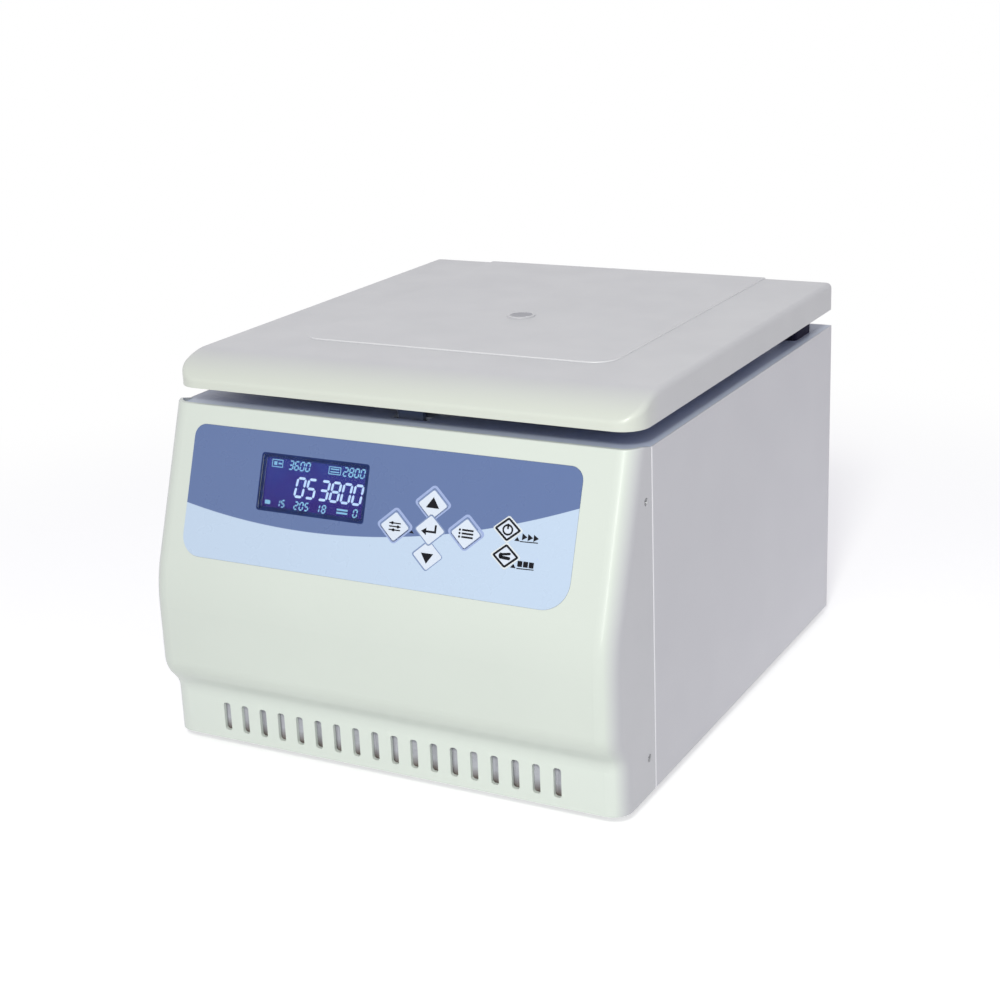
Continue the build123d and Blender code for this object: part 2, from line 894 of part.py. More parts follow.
def top_deck():
    half = side_inner_x - close_fit
    front = seam_y + slip_fit
    rear = wall_inner_y - close_fit
    block = slab((-half, half), (front, rear), (deck_bottom - deck_rim_depth, deck_height))
    block = fillet(block.edges().filter_by(Axis.Z).group_by(Axis.Y)[-1], shell_corner - sheet)
    inner_x = half - deck_rim_wall
    below = (deck_bottom - deck_rim_depth - 1, deck_bottom)
    block -= slab((-inner_x, inner_x), (front - 1, rear - deck_rim_wall), below)
    # Front tongue that fills the top of the fascia
    inset = fascia_wall + close_fit
    tongue_x = half_width - inset
    tongue_y = (slope_top_y + inset, front + 1)
    tongue = slab((-tongue_x, tongue_x), tongue_y, (deck_bottom, deck_height))
    front_edges = tongue.edges().filter_by(Axis.Z).group_by(Axis.Y)[0]
    block += fillet(front_edges, fascia_corner - inset)
    block -= post(chamber_radius + chamber_wall + slip_fit, (0, deck_height + 1), 0, rotor_y)
    slot_half = striker_half_width + striker_side_play
    block -= slab((-slot_half, slot_half), (lock_front_inner, lock_rear_inner), (0, deck_height + 1))
    rim_y = (rear - deck_rim_wall - 1, rear + 1)
    for x, z in wall_screw_places()[1::2]:
        block -= bar_y(rear_screw_radius + running_fit, rim_y, x, z)
    return block


# ---------------------------------------------------------------- chamber


def chamber_bowl():
    outer = chamber_radius + chamber_wall
    shape = post(outer, (chamber_floor - chamber_wall, flange_top), 0, rotor_y)
    shape = fillet(shape.edges().sort_by(Axis.Z)[0], chamber_corner + chamber_wall)
    inner = post(chamber_radius, (chamber_floor, flange_top + 1), 0, rotor_y)
    inner = fillet(inner.edges().sort_by(Axis.Z)[0], chamber_corner)
    shape += post(flange_radius, (deck_height, flange_top), 0, rotor_y)
    shape -= inner
    return shape - post(chamber_hole_radius, (0, deck_height), 0, rotor_y)


def chamber_seal():
    top = lid_bottom - slip_fit
    ring = tube(flange_radius, flange_radius - seal_width, (flange_top, top), 0, rotor_y)
    return fillet(ring.edges().group_by(Axis.Z)[-1], seal_round)


def chamber_guard():
    middle = guard_radius - guard_wall / 2
    z_span = (motor_top, deck_bottom - guard_deck_gap)
    ring = tube(guard_radius, guard_radius - guard_wall, z_span, 0, rotor_y)
    half = guard_leg_size / 2
    foot_half = guard_foot_size / 2
    leg = slab((-guard_wall / 2, guard_wall / 2), (-half, half), (base_top, motor_top))
    foot_z = (base_top, base_top + guard_foot_height)
    leg += slab((-foot_half, foot_half), (-foot_half, foot_half), foot_z)
    for angle in (45, 135, 225, 315):
        ring += Pos(0, rotor_y, 0) * Rot(0, 0, angle) * Pos(middle, 0, 0) * leg
    return ring


# ---------------------------------------------------------------- motor


def isolator_places():
    spread = (-isolator_spread, isolator_spread)
    return [(x, rotor_y + y) for x in spread for y in spread]


def motor_isolators():
    z_span = (base_top, motor_plate_bottom)
    middle = (base_top + motor_plate_bottom) / 2
    shape = post(isolator_radius, z_span)
    groove = Pos(isolator_radius + 1, middle) * Circle(isolator_radius + 1 - isolator_waist)
    shape -= revolve(Plane.XZ * groove, Axis.Z)
    return Compound([Pos(x, y, 0) * shape for x, y in isolator_places()])


def motor_plate():
    half = motor_plate_size / 2
    y_span = (rotor_y - half, rotor_y + half)
    z_span = (motor_plate_bottom, motor_bottom)
    plate = rounded_block((-half, half), y_span, z_span, motor_plate_corner)
    return plate - post(bearing_radius, (0, deck_height), 0, rotor_y)


def motor_housing():
    shape = post(motor_radius, (motor_bottom, motor_top), 0, rotor_y)
    shape = fillet(shape.edges().sort_by(Axis.Z)[-1], 4)
    cavity_z = (motor_bottom + motor_end_wall, motor_top - motor_end_wall)
    shape -= post(motor_radius - motor_wall, cavity_z, 0, rotor_y)
    shape -= post(bearing_radius, (lower_bearing, cavity_z[0]), 0, rotor_y)
    shape -= post(bearing_radius, (cavity_z[1], upper_bearing + bearing_height), 0, rotor_y)
    return shape - post(shaft_opening, (0, deck_height), 0, rotor_y)


def motor_bearings():
    rings = []
    for low in (lower_bearing, upper_bearing):
        span = (low, low + bearing_height)
        rings.append(tube(bearing_radius, shaft_radius + running_fit, span, 0, rotor_y))
    return Compound(rings)


def motor_stator():
    span = (motor_mid - stator_height / 2, motor_mid + stator_height / 2)
    ring = tube(motor_radius - motor_wall, stator_bore, span, 0, rotor_y)
    slot = post(2.0, (span[0] - 1, span[1] + 1))
    for index in range(12):
        ring -= Pos(0, rotor_y, 0) * Rot(0, 0, 30 * index) * Pos(stator_bore + 8, 0, 0) * slot
    return ring


def shaft_boot():
    sleeve_z = (motor_top, chamber_floor - chamber_wall)
    shape = tube(boot_radius, boot_radius - boot_wall, sleeve_z, 0, rotor_y)
    lower = (motor_top, motor_top + boot_flange_thickness)
    shape += tube(boot_radius + boot_flange, boot_radius - boot_wall, lower, 0, rotor_y)
    upper = (sleeve_z[1] - boot_flange_thickness, sleeve_z[1])
    outer = chamber_hole_radius + boot_flange
    return shape + tube(outer, boot_radius - boot_wall, upper, 0, rotor_y)


def drive_shaft():
    shaft = post(shaft_radius, (shaft_bottom, shaft_top), 0, rotor_y)
    return chamfer(shaft.edges().group_by(Axis.Z)[-1], 1.0)


def motor_armature():
    span = (motor_mid - armature_height / 2, motor_mid + armature_height / 2)
    return tube(armature_radius, shaft_radius, span, 0, rotor_y)


# ---------------------------------------------------------------- rotor and buckets


def rotor_yoke():
    beam_z = (trunnion_height - beam_depth / 2, trunnion_height + beam_depth / 2)
    outer_y = beam_inner_y + beam_thickness
    half_x = trunnion_x + beam_end_margin
    bar = slab((-crossbar_half_width, crossbar_half_width), (-outer_y, outer_y), beam_z)
    for side in (-1, 1):
        y_span = sorted((side * beam_inner_y, side * outer_y))
        bar += rounded_block((-half_x, half_x), y_span, beam_z, beam_corner)
    bar = Pos(0, rotor_y, 0) * bar
    bar += post(hub_radius, (hub_bottom, hub_top), 0, rotor_y)
    bar -= post(shaft_radius, (0, deck_height), 0, rotor_y)
    for x in (-trunnion_x, trunnion_x):
        for side in (-1, 1):
            tip = side * (beam_inner_y + trunnion_grip)
            y_span = sorted((rotor_y + side * (beam_inner_y - 1), rotor_y + tip))
            bar -= bar_y(trunnion_radius, y_span, x, trunnion_height)
    return bar


def trunnion_pins():
    pins = []
    for x in (-trunnion_x, trunnion_x):
        for side in (-1, 1):
            tip = side * (beam_inner_y + trunnion_grip)
            y_span = sorted((rotor_y + side * trunnion_tip_y, rotor_y + tip))
            pins.append(bar_y(trunnion_radius, y_span, x, trunnion_height))
    return Compound(pins)


def rotor_nut():
    nut = post(nut_radius, (hub_top, hub_top + nut_height))
    nut = fillet(nut.edges().sort_by(Axis.Z)[-1], 3)
    for index in range(8):
        flute = post(2.5, (hub_top - 1, hub_top + nut_height + 1), nut_radius + 1, 0)
        nut -= Rot(0, 0, 45 * index) * flute
    nut -= post(shaft_radius, (hub_top, shaft_top))
    return Pos(0, rotor_y, 0) * nut


def bucket(side):
    shape = rounded_block(
        (-bucket_outer_x, bucket_outer_x),
        (-bucket_outer_y, bucket_outer_y),
        (bucket_bottom, bucket_rim),
        bucket_corner + bucket_wall,
    )
    ear_z = (trunnion_height - ear_below, trunnion_height + ear_above)
    for end in (-1, 1):
        inner = end * (bucket_outer_y - bucket_wall / 2)
        outer = end * (bucket_outer_y - bucket_wall / 2 + ear_thickness)
        ear = slab((-ear_half_width, ear_half_width), sorted((inner, outer)), ear_z)
        top_edges = ear.edges().filter_by(Axis.Y).group_by(Axis.Z)[-1]
        shape += fillet(top_edges, ear_half_width / 2)
    shape -= rounded_block(
        (-bucket_inner_x, bucket_inner_x),
        (-bucket_inner_y, bucket_inner_y),
        (bucket_floor, trunnion_height + 2 * ear_above),
        bucket_corner,
    )
    # Grooves that hang the bucket on its trunnion pins, open downwards
    groove = trunnion_radius + running_fit
    for end in (-1, 1):
        start = end * (trunnion_tip_y - slip_fit)
        stop = end * (bucket_outer_y + 2 * ear_thickness)
        y_span = sorted((start, stop))
        shape -= bar_y(groove, y_span, 0, trunnion_height)
        slot_z = (trunnion_height - 2 * ear_below, trunnion_height)
        shape -= slab((-groove, groove), y_span, slot_z)
    return Pos(side * trunnion_x, rotor_y, 0) * shape


def bucket_pad(side):
    half_x = bucket_inner_x - pad_margin
    half_y = bucket_inner_y - pad_margin
    z_span = (bucket_floor, bucket_floor + pad_thickness)
    pad = rounded_block((-half_x, half_x), (-half_y, half_y), z_span, bucket_corner)
    return Pos(side * trunnion_x, rotor_y, 0) * pad


# ---------------------------------------------------------------- lid


def lid_plan(inset, z_span):
    # The lid's rounded plan between two heights
    half = lid_half_width - inset
    plan = slab((-half, half), (lid_front_y + inset, lid_rear_y - inset), z_span)
    uprights = plan.edges().filter_by(Axis.Z).group_by(Axis.Y)
    plan = fillet(uprights[0], lid_front_corner - inset)
    uprights = plan.edges().filter_by(Axis.Z).group_by(Axis.Y)
    return fillet(uprights[-1], lid_rear_corner - inset)


def lid_form(inset):
    # Outer form of the lid, or its hollow when inset: an arched nose and rounded edges
    z_span = (lid_bottom, lid_top - inset)
    x_span = (-half_width, half_width)
    nose = bar_x(lid_arch_radius - inset, x_span, lid_arch_y, lid_top - lid_arch_radius)
    form = lid_plan(inset, z_span) & (nose + slab(x_span, (lid_arch_y, lid_rear_y), z_span))
    walls = form.faces().filter_by(lambda face: abs(face.normal_at().Z) < 0.01)
    rim = walls.edges().filter_by(lambda edge: edge.bounding_box().min.Z > lid_bottom + 1)
    return fillet(rim, lid_edge - inset)


def raised_panel():
    rear = lid_rear_y - lid_edge / 2
    span = (panel_front_y, rear)
    panel = slab((-panel_half_width, panel_half_width), span, (lid_top - 1, panel_top))
    front_edges = panel.edges().filter_by(Axis.Z).group_by(Axis.Y)[0]
    panel = fillet(front_edges, panel_corner)
    return fillet(panel.faces().sort_by(Axis.Z)[-1].edges(), panel_edge)


def lid_screw_places():
    ys = (lid_screw_front_y, rotor_y, lid_screw_rear_y)
    return [(x, y) for x in (-lid_screw_x, lid_screw_x) for y in ys]


def lid_cover():
    cover = lid_form(0) + raised_panel()
    cover -= lid_form(lid_wall)
    for x, y in lid_screw_places():
        cover += post(lid_boss_radius, (lid_plate_top, lid_top - lid_wall), x, y)
    for x, y in lid_screw_places():
        depth = (lid_bottom, lid_plate_top + lid_screw_length)
        cover -= post(lid_screw_radius + running_fit, depth, x, y)
    return cover - post(bezel_neck, (lid_bottom, panel_top + 1), 0, rotor_y)


def lid_plate():
    plate = lid_plan(lid_wall + close_fit, (lid_bottom, lid_plate_top))
    plate -= post(sight_radius, (0, panel_top), 0, rotor_y)
    for x, y in lid_screw_places():
        plate -= post(lid_screw_radius + running_fit, (0, panel_top), x, y)
    return plate


def lid_stiffener():
    z_span = (lid_plate_top, lid_plate_top + stiffener_height)
    y_span = (stiffener_front_y, stiffener_rear_y)
    half = stiffener_half_width
    frame = rounded_block((-half, half), y_span, z_span, stiffener_bar)
    inner = half - stiffener_bar
    inner_y = (stiffener_front_y + stiffener_bar, stiffener_rear_y - stiffener_bar)
    return frame - rounded_block((-inner, inner), inner_y, z_span, stiffener_bar / 2)


def sight_window():
    top = panel_top + bezel_height - sight_drop
    return post(sight_radius, (lid_bottom, top), 0, rotor_y)


def sight_bezel():
    neck = post(bezel_neck, (lid_plate_top, panel_top), 0, rotor_y)
    cap = post(bezel_radius, (panel_top, panel_top + bezel_height), 0, rotor_y)
    cap = fillet(cap.edges().sort_by(Axis.Z)[-1], bezel_height / 2)
    return neck + cap - post(sight_radius, (0, panel_top + 5), 0, rotor_y)


def striker():
    half_t = striker_thickness / 2
    foot_z = (lid_bottom - striker_base_thickness, lid_bottom)
    y_span = (striker_y - striker_base_half_depth, striker_y + striker_base_half_depth)
    half = striker_base_half_width
    shape = rounded_block((-half, half), y_span, foot_z, striker_thickness / 2)
    blade_z = (deck_height - striker_drop, lid_bottom)
    blade_x = (-striker_half_width, striker_half_width)
    blade = slab(blade_x, (striker_y - half_t, striker_y + half_t), blade_z)
    low_edges = blade.edges().filter_by(Axis.Y).group_by(Axis.Z)[0]
    shape += fillet(low_edges, striker_half_width / 2)
    hole_y = (striker_y - striker_thickness, striker_y + striker_thickness)
    half_w = bolt_window / 2
    return shape - slab((-half_w, half_w), hole_y, (bolt_height - half_w, bolt_height + half_w))


def lid_screws():
    screws = []
    for x, y in lid_screw_places():
        head = post(lid_screw_head_radius, (lid_bottom - lid_screw_head_height, lid_bottom), x, y)
        head = fillet(head.edges().sort_by(Axis.Z)[0], lid_screw_head_height / 2)
        shank = post(lid_screw_radius, (lid_bottom, lid_bottom + lid_screw_length), x, y)
        screws.append(head + shank)
    return Compound(screws)


# ---------------------------------------------------------------- hinge


def knuckle(centre_x, half_length):
    span = (centre_x - half_length, centre_x + half_length)
    return bar_x(knuckle_radius, span, hinge_y, hinge_z)


def pin_bore(x):
    span = (x - 2 * hinge_half_length, x + 2 * hinge_half_length)
    return bar_x(hinge_pin_radius + running_fit, span, hinge_y, hinge_z)


def hinge_bracket(x):
    plate_z = (deck_height, deck_height + hinge_bracket_thickness)
    front = hinge_y - hinge_plate_front
    reach = hinge_half_length
    plate = rounded_block((x - reach, x + reach), (front, hinge_y - knuckle_radius), plate_z, 2)
    for side in (-1, 1):
        centre = x + side * (hinge_half_length - knuckle_body / 2)
        span = (centre - knuckle_body / 2, centre + knuckle_body / 2)
        web_y = (hinge_y - knuckle_radius - 2, hinge_y + knuckle_radius)
        plate += slab(span, web_y, (deck_height, hinge_z))
        plate += knuckle(centre, knuckle_body / 2)
    return plate - pin_bore(x)


def hinge_brackets():
    return both_sides(hinge_bracket(hinge_x))


def hinge_leaf(x):
    plate_z = (lid_bottom - hinge_leaf_thickness, lid_bottom)
    front = hinge_y - hinge_plate_front
    reach = hinge_half_length
    rear = hinge_y - knuckle_radius - 2
    plate = rounded_block((x - reach, x + reach), (front, rear), plate_z, 2)
    middle = hinge_half_length - knuckle_body - knuckle_gap - knuckle_leaf / 2
    for side in (-1, 1):
        centre = x + side * middle
        span = (centre - knuckle_leaf / 2, centre + knuckle_leaf / 2)
        plate += slab(span, (rear - 1, hinge_y + knuckle_radius), (hinge_z, lid_bottom))
        plate += knuckle(centre, knuckle_leaf / 2)
    return plate - pin_bore(x)


def hinge_leaves():
    return both_sides(hinge_leaf(hinge_x))


def hinge_pins():
    end = hinge_half_length + hinge_pin_head_height
    shank = bar_x(hinge_pin_radius, (hinge_x - end, hinge_x + end), hinge_y, hinge_z)
    for side in (-1, 1):
        face = hinge_x + side * hinge_half_length
        span = sorted((face, face + side * hinge_pin_head_height))
        shank += bar_x(hinge_pin_head, span, hinge_y, hinge_z)
    return both_sides(shank)


def hinge_springs():
    half = hinge_half_length - knuckle_body - knuckle_leaf - 2 * knuckle_gap
    span = (hinge_x - half, hinge_x + half)
    coil = bar_x(hinge_spring_radius, span, hinge_y, hinge_z)
    coil -= bar_x(hinge_spring_radius - hinge_spring_wire, span, hinge_y, hinge_z)
    return both_sides(coil)


# ---------------------------------------------------------------- lid lock


def lock_housing():
    bottom = deck_height - striker_drop - lock_bottom_margin
    y_span = (lock_front, lock_rear)
    case = slab((-lock_half_width, lock_half_width), y_span, (bottom, deck_bottom))
    hollow = striker_half_width + striker_side_play
    inner_y = (lock_front_inner, lock_rear_inner)
    case -= slab((-hollow, hollow), inner_y, (bottom + lock_wall, deck_height))
    bore_y = (lock_front - 1, lock_rear + 1)
    return case - bar_y(bolt_radius + running_fit, bore_y, 0, bolt_height)


def lock_solenoid():
    half_z = solenoid_height / 2
    x_span = (-solenoid_half_width, solenoid_half_width)
    z_span = (bolt_height - half_z, bolt_height + half_z)
    coil = slab(x_span, (solenoid_front, solenoid_rear), z_span)
    # Spacer flange that screws the coil to the lock housing
    coil += slab(x_span, (solenoid_rear, lock_front), (bolt_height - 8, bolt_height + 8))
    bore = (solenoid_front + 1.5, lock_front + 1)
    return coil - bar_y(bolt_radius + running_fit, bore, 0, bolt_height)


def lock_bolt():
    tip = lock_rear_inner + bolt_engagement - bolt_travel
    bolt = bar_y(bolt_radius, (tip - bolt_length, tip), 0, bolt_height)
    return chamfer(bolt.edges().group_by(Axis.Y)[-1], 1.0)


# ---------------------------------------------------------------- rear fittings


def fan_frame():
    half = fan_size / 2
    y_span = (wall_inner_y - fan_depth, wall_inner_y)
    frame = slab((-half, half), y_span, (-half, half))
    frame = fillet(frame.edges().filter_by(Axis.Y), fan_corner)
    frame -= bar_y(fan_bore, (y_span[0] - 1, y_span[1] + 1), 0, 0)
    hub_y = (y_span[0], y_span[0] + fan_hub_depth)
    frame += bar_y(fan_hub_radius, hub_y, 0, 0)
    strut = slab((-fan_strut / 2, fan_strut / 2), hub_y, (fan_hub_radius - 1, fan_bore + 1))
    for index in range(4):
        frame += Rot(0, 45 + 90 * index, 0) * strut
    frame += bar_y(fan_spindle_radius, (hub_y[0], hub_y[1] + impeller_depth - fan_hub_cap), 0, 0)
    frame = Pos(fan_x, 0, fan_z) * frame
    for x, z in fan_screw_places():
        frame -= bar_y(fan_screw_radius + running_fit, (y_span[0] - 1, y_span[1] + 1), x, z)
    return frame


def fan_impeller():
    start = wall_inner_y - fan_depth + fan_hub_depth + slip_fit
    y_span = (start, start + impeller_depth)
    hub = bar_y(fan_hub_radius, y_span, 0, 0)
    hub = fillet(hub.edges().sort_by(Axis.Y)[-1], 2)
    middle_y = (y_span[0] + y_span[1]) / 2
    blade_length = fan_blade_radius - fan_hub_radius + 2
    blade = Box(fan_blade_width, fan_blade_thickness, blade_length)
    blade = Rot(0, 0, fan_blade_pitch) * blade
    blade = Pos(0, middle_y, fan_hub_radius - 2 + blade_length / 2) * blade
    for index in range(fan_blade_count):
        hub += Rot(0, 360 / fan_blade_count * index, 0) * blade
    hub -= bar_y(fan_spindle_radius + running_fit, (y_span[0] - 1, y_span[1] - fan_hub_cap), 0, 0)
    return Pos(fan_x, 0, fan_z) * hub


def rear_flange(x, z, width, height):
    # Flat flange on the outside of the back wall
    half_x, half_z = width / 2, height / 2
    flange = slab((x - half_x, x + half_x), (back_y, lid_rear_y), (z - half_z, z + half_z))
    return fillet(flange.edges().filter_by(Axis.Y), inlet_corner)


def rear_body(x, z, width, height, depth):
    half_x, half_z = width / 2, height / 2
    y_span = (back_y - depth, back_y)
    return slab((x - half_x, x + half_x), y_span, (z - half_z, z + half_z))


def power_inlet():
    shape = rear_flange(inlet_x, inlet_z, inlet_flange_width, inlet_flange_height)
    body = rear_body(inlet_x, inlet_z, inlet_body_width, inlet_body_height, inlet_body_depth)
    shape += body
    half_x, half_z = inlet_socket_width / 2, inlet_socket_height / 2
    floor_y = lid_rear_y - inlet_socket_depth
    socket = slab(
        (inlet_x - half_x, inlet_x + half_x),
        (floor_y, lid_rear_y + 1),
        (inlet_z - half_z, inlet_z + half_z),
    )
    upper = socket.edges().filter_by(Axis.Y).group_by(Axis.Z)[-1]
    shape -= chamfer(upper, 4 * inlet_corner / 3)
    for index in (-1, 0, 1):
        x = inlet_x + index * inlet_pin_pitch
        z = inlet_z + (inlet_pin_rise if index == 0 else 0)
        half_w, half_h = inlet_pin_width / 2, inlet_pin_height / 2
        y_span = (floor_y - 1, floor_y + inlet_pin_length)
        shape += slab((x - half_w, x + half_w), y_span, (z - half_h, z + half_h))
    for x, z in inlet_screw_places():
        shape -= bar_y(rear_screw_radius + running_fit, (back_y - 1, lid_rear_y + 1), x, z)
        shape -= bar_y(rear_screw_head_radius + close_fit, (back_y + 1, lid_rear_y + 1), x, z)
    return shape


def switch_frame():
    shape = rear_flange(switch_x, switch_z, switch_flange_width, switch_flange_height)
    size = (switch_body_width, switch_body_height, switch_body_depth)
    shape += rear_body(switch_x, switch_z, *size)
    half_x, half_z = switch_window_width / 2, switch_window_height / 2
    floor_y = lid_rear_y - switch_cavity_depth
    shape -= slab(
        (switch_x - half_x, switch_x + half_x),
        (floor_y, lid_rear_y + 1),
        (switch_z - half_z, switch_z + half_z),
    )
    reach = half_z + rocker_pivot_grip + close_fit
    bore = post(rocker_pivot_radius + running_fit, (switch_z - reach, switch_z + reach))
    return shape - Pos(switch_x, lid_rear_y - rocker_pivot_depth, 0) * bore


def power_rocker():
    half_z = switch_window_height / 2 - slip_fit
    outline = Polygon(
        (-rocker_half_length, rocker_tip_rise),
        (-rocker_base_half, -rocker_base_drop),
        (rocker_base_half, -rocker_base_drop),
        (rocker_half_length, rocker_tip_rise),
        (0, rocker_middle_rise),
        align=None,
    )
    body = Pos(0, 0, -half_z) * extrude(outline, 2 * half_z)
    reach = switch_window_height / 2 + rocker_pivot_grip
    body += post(rocker_pivot_radius, (-reach, reach))
    return Pos(switch_x, lid_rear_y - rocker_pivot_depth, switch_z) * Rot(0, 0, rocker_tilt) * body


def fuse_holder():
    flange_y = (back_y, back_y + fuse_flange_thickness)
    shape = bar_y(fuse_flange_radius, flange_y, fuse_x, fuse_z)
    shape += bar_y(fuse_body_radius, (back_y - fuse_body_depth, back_y), fuse_x, fuse_z)
    shape += bar_y(fuse_cap_radius, (back_y, lid_rear_y), fuse_x, fuse_z)
    half_w = fuse_slot_width / 2
    shape -= slab(
        (fuse_x - fuse_cap_radius, fuse_x + fuse_cap_radius),
        (lid_rear_y - fuse_slot_depth, lid_rear_y + 1),
        (fuse_z - half_w, fuse_z + half_w),
    )
    return shape


def rear_screw(x, z, seat_y, shank_radius):
    head_y = (seat_y, seat_y + rear_screw_head_height)
    head = bar_y(rear_screw_head_radius, head_y, x, z)
    head = fillet(head.edges().sort_by(Axis.Y)[-1], rear_screw_head_height / 3)
    return head + bar_y(shank_radius, (seat_y - rear_screw_length, seat_y), x, z)


def rear_screws():
    screws = [rear_screw(x, z, back_y, rear_screw_radius) for x, z in wall_screw_places()]
    screws += [rear_screw(x, z, back_y, fan_screw_radius) for x, z in fan_screw_places()]
    return Compound(screws)


def inlet_screws():
    screws = []
    for x, z in inlet_screw_places():
        head = bar_y(rear_screw_head_radius, (back_y + 1, lid_rear_y), x, z)
        screws.append(head + bar_y(rear_screw_radius, (back_y - 6, back_y + 1), x, z))
    return Compound(screws)


def drive_unit():
    half_x, half_y = drive_width / 2, drive_depth / 2
    x_span = (drive_x - half_x, drive_x + half_x)
    y_span = (drive_y - half_y, drive_y + half_y)
    top = base_top + drive_height
    case = rounded_block(x_span, y_span, (base_top, top), 3)
    pitch = drive_width / fin_count
    for index in range(fin_count):
        x = x_span[0] + (index + 0.5) * pitch
        fin_x = (x - fin_thickness / 2, x + fin_thickness / 2)
        fin_y = (y_span[0] + 4, y_span[1] - 4)
        case += slab(fin_x, fin_y, (top - 1, top + fin_height))
    return case


def cable(points, bend):
    # Round lead of straight runs joined by tangent arcs
    path = FilletPolyline(*points, radius=bend) if bend else Line(*points)
    section = Plane(origin=path @ 0, z_dir=path % 0) * Circle(cable_radius)
    return sweep(section, path=path)


def wiring_loom():
    rear_y = wall_inner_y - fan_depth - cable_rear_gap
    power_points = [
        (inlet_x, back_y - inlet_body_depth, inlet_z),
        (inlet_x, rear_y, inlet_z),
        (inlet_x, rear_y, cable_height),
        (drive_x, rear_y, cable_height),
        (drive_x, drive_y + drive_depth / 2, cable_height),
    ]
    board_point = slope_plane.from_local_coords((signal_x, -signal_down, -board_back))
    inner_point = slope_plane.from_local_coords(
        (signal_x, -signal_down, -board_back - signal_reach)
    )
    signal_points = [
        tuple(board_point),
        tuple(inner_point),
        (signal_side_x, inner_point.Y, signal_middle_height),
        (signal_side_x, signal_low_y, signal_low_height),
        (signal_side_x, drive_y - drive_depth / 2, signal_low_height),
    ]
    motor_points = [
        (drive_x + drive_width / 2, rotor_y, motor_lead_height),
        (-motor_radius, rotor_y, motor_lead_height),
    ]
    jumper_z = (inlet_z + inlet_body_height / 2, switch_z - switch_body_height / 2)
    jumper_y = back_y - switch_body_depth + jumper_inset
    jumper = post(jumper_radius, jumper_z, inlet_x + jumper_inset, jumper_y)
    leads = [cable(power_points, cable_bend), cable(signal_points, cable_bend)]
    return Compound(leads + [cable(motor_points, 0), jumper])


# ---------------------------------------------------------------- all pieces

pieces = {
    "front_fascia": front_fascia,
    "fascia_screws": fascia_screws,
    "membrane_overlay": membrane_overlay,
    "display_window": display_window,
    "lcd_module": lcd_module,
    "control_board": control_board,
    "cabinet_shell": cabinet_shell,
    "base_plate": base_plate,
    "rubber_feet": rubber_feet,
    "foot_screws": foot_screws,
    "top_deck": top_deck,
    "chamber_bowl": chamber_bowl,
    "chamber_seal": chamber_seal,
    "chamber_guard": chamber_guard,
    "motor_isolators": motor_isolators,
    "motor_plate": motor_plate,
    "motor_housing": motor_housing,
    "motor_bearings": motor_bearings,
    "motor_stator": motor_stator,
    "shaft_boot": shaft_boot,
    "drive_shaft": drive_shaft,
    "motor_armature": motor_armature,
    "rotor_yoke": rotor_yoke,
    "trunnion_pins": trunnion_pins,
    "rotor_nut": rotor_nut,
    "lid_cover": lid_cover,
    "lid_plate": lid_plate,
    "lid_stiffener": lid_stiffener,
    "sight_window": sight_window,
    "sight_bezel": sight_bezel,
    "striker": striker,
    "lid_screws": lid_screws,
    "hinge_brackets": hinge_brackets,
    "hinge_leaves": hinge_leaves,
    "hinge_pins": hinge_pins,
    "hinge_springs": hinge_springs,
    "lock_housing": lock_housing,
    "lock_solenoid": lock_solenoid,
    "lock_bolt": lock_bolt,
    "fan_frame": fan_frame,
    "fan_impeller": fan_impeller,
    "power_inlet": power_inlet,
    "inlet_screws": inlet_screws,
    "switch_frame": switch_frame,
    "power_rocker": power_rocker,
    "fuse_holder": fuse_holder,
    "rear_screws": rear_screws,
    "drive_unit": drive_unit,
    "wiring_loom": wiring_loom,
}

os.makedirs("parts", exist_ok=True)
for name, make in pieces.items():
    export_step(make(), f"parts/{name}.step")
for name, side in (("right", 1), ("left", -1)):
    export_step(bucket(side), f"parts/bucket_{name}.step")
    export_step(bucket_pad(side), f"parts/bucket_pad_{name}.step")
for name, place in key_centres.items():
    export_step(key(name, place), f"parts/{name}.step")
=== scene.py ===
import json
import math

import bmesh
import bpy
from mathutils import Matrix, Vector

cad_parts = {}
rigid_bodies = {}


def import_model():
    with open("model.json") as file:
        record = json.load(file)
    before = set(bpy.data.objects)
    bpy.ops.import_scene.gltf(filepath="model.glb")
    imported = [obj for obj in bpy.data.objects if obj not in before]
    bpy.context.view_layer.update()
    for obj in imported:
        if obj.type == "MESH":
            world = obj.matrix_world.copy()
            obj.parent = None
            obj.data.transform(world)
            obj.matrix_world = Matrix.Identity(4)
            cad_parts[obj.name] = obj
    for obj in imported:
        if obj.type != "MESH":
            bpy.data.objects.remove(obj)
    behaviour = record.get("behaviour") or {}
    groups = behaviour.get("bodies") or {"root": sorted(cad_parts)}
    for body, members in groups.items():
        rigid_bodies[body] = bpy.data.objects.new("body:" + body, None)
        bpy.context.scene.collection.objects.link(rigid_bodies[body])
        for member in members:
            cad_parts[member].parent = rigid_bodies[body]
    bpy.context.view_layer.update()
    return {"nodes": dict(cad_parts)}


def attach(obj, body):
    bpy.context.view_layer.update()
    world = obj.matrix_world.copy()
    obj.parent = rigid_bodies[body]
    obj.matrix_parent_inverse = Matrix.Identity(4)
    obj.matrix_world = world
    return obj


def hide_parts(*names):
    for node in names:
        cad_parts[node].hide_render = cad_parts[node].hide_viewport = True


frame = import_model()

scene = bpy.context.scene
nodes = frame["nodes"]
mm = 0.001
print("frame loaded:", len(nodes), "nodes")

# Sloping keypad face: its upper edge line and its lean back from the bench
slopeOrigin = Vector((0, -210.5, 299)) * mm
slopeTurn = math.radians(70.271)
rotorY = 30 * mm  # rotor's axis, behind the middle


# Camera

cameraSetup = {
    "place": (0.7640, -1.4338, 0.7039),
    "yaw": -0.496900662,
    "pitch": 0.314987837,
    "roll": -0.0403118719,
    "lens": 66.2463,
    "sensor": 36,
    "clip": (0.05, 60),
}


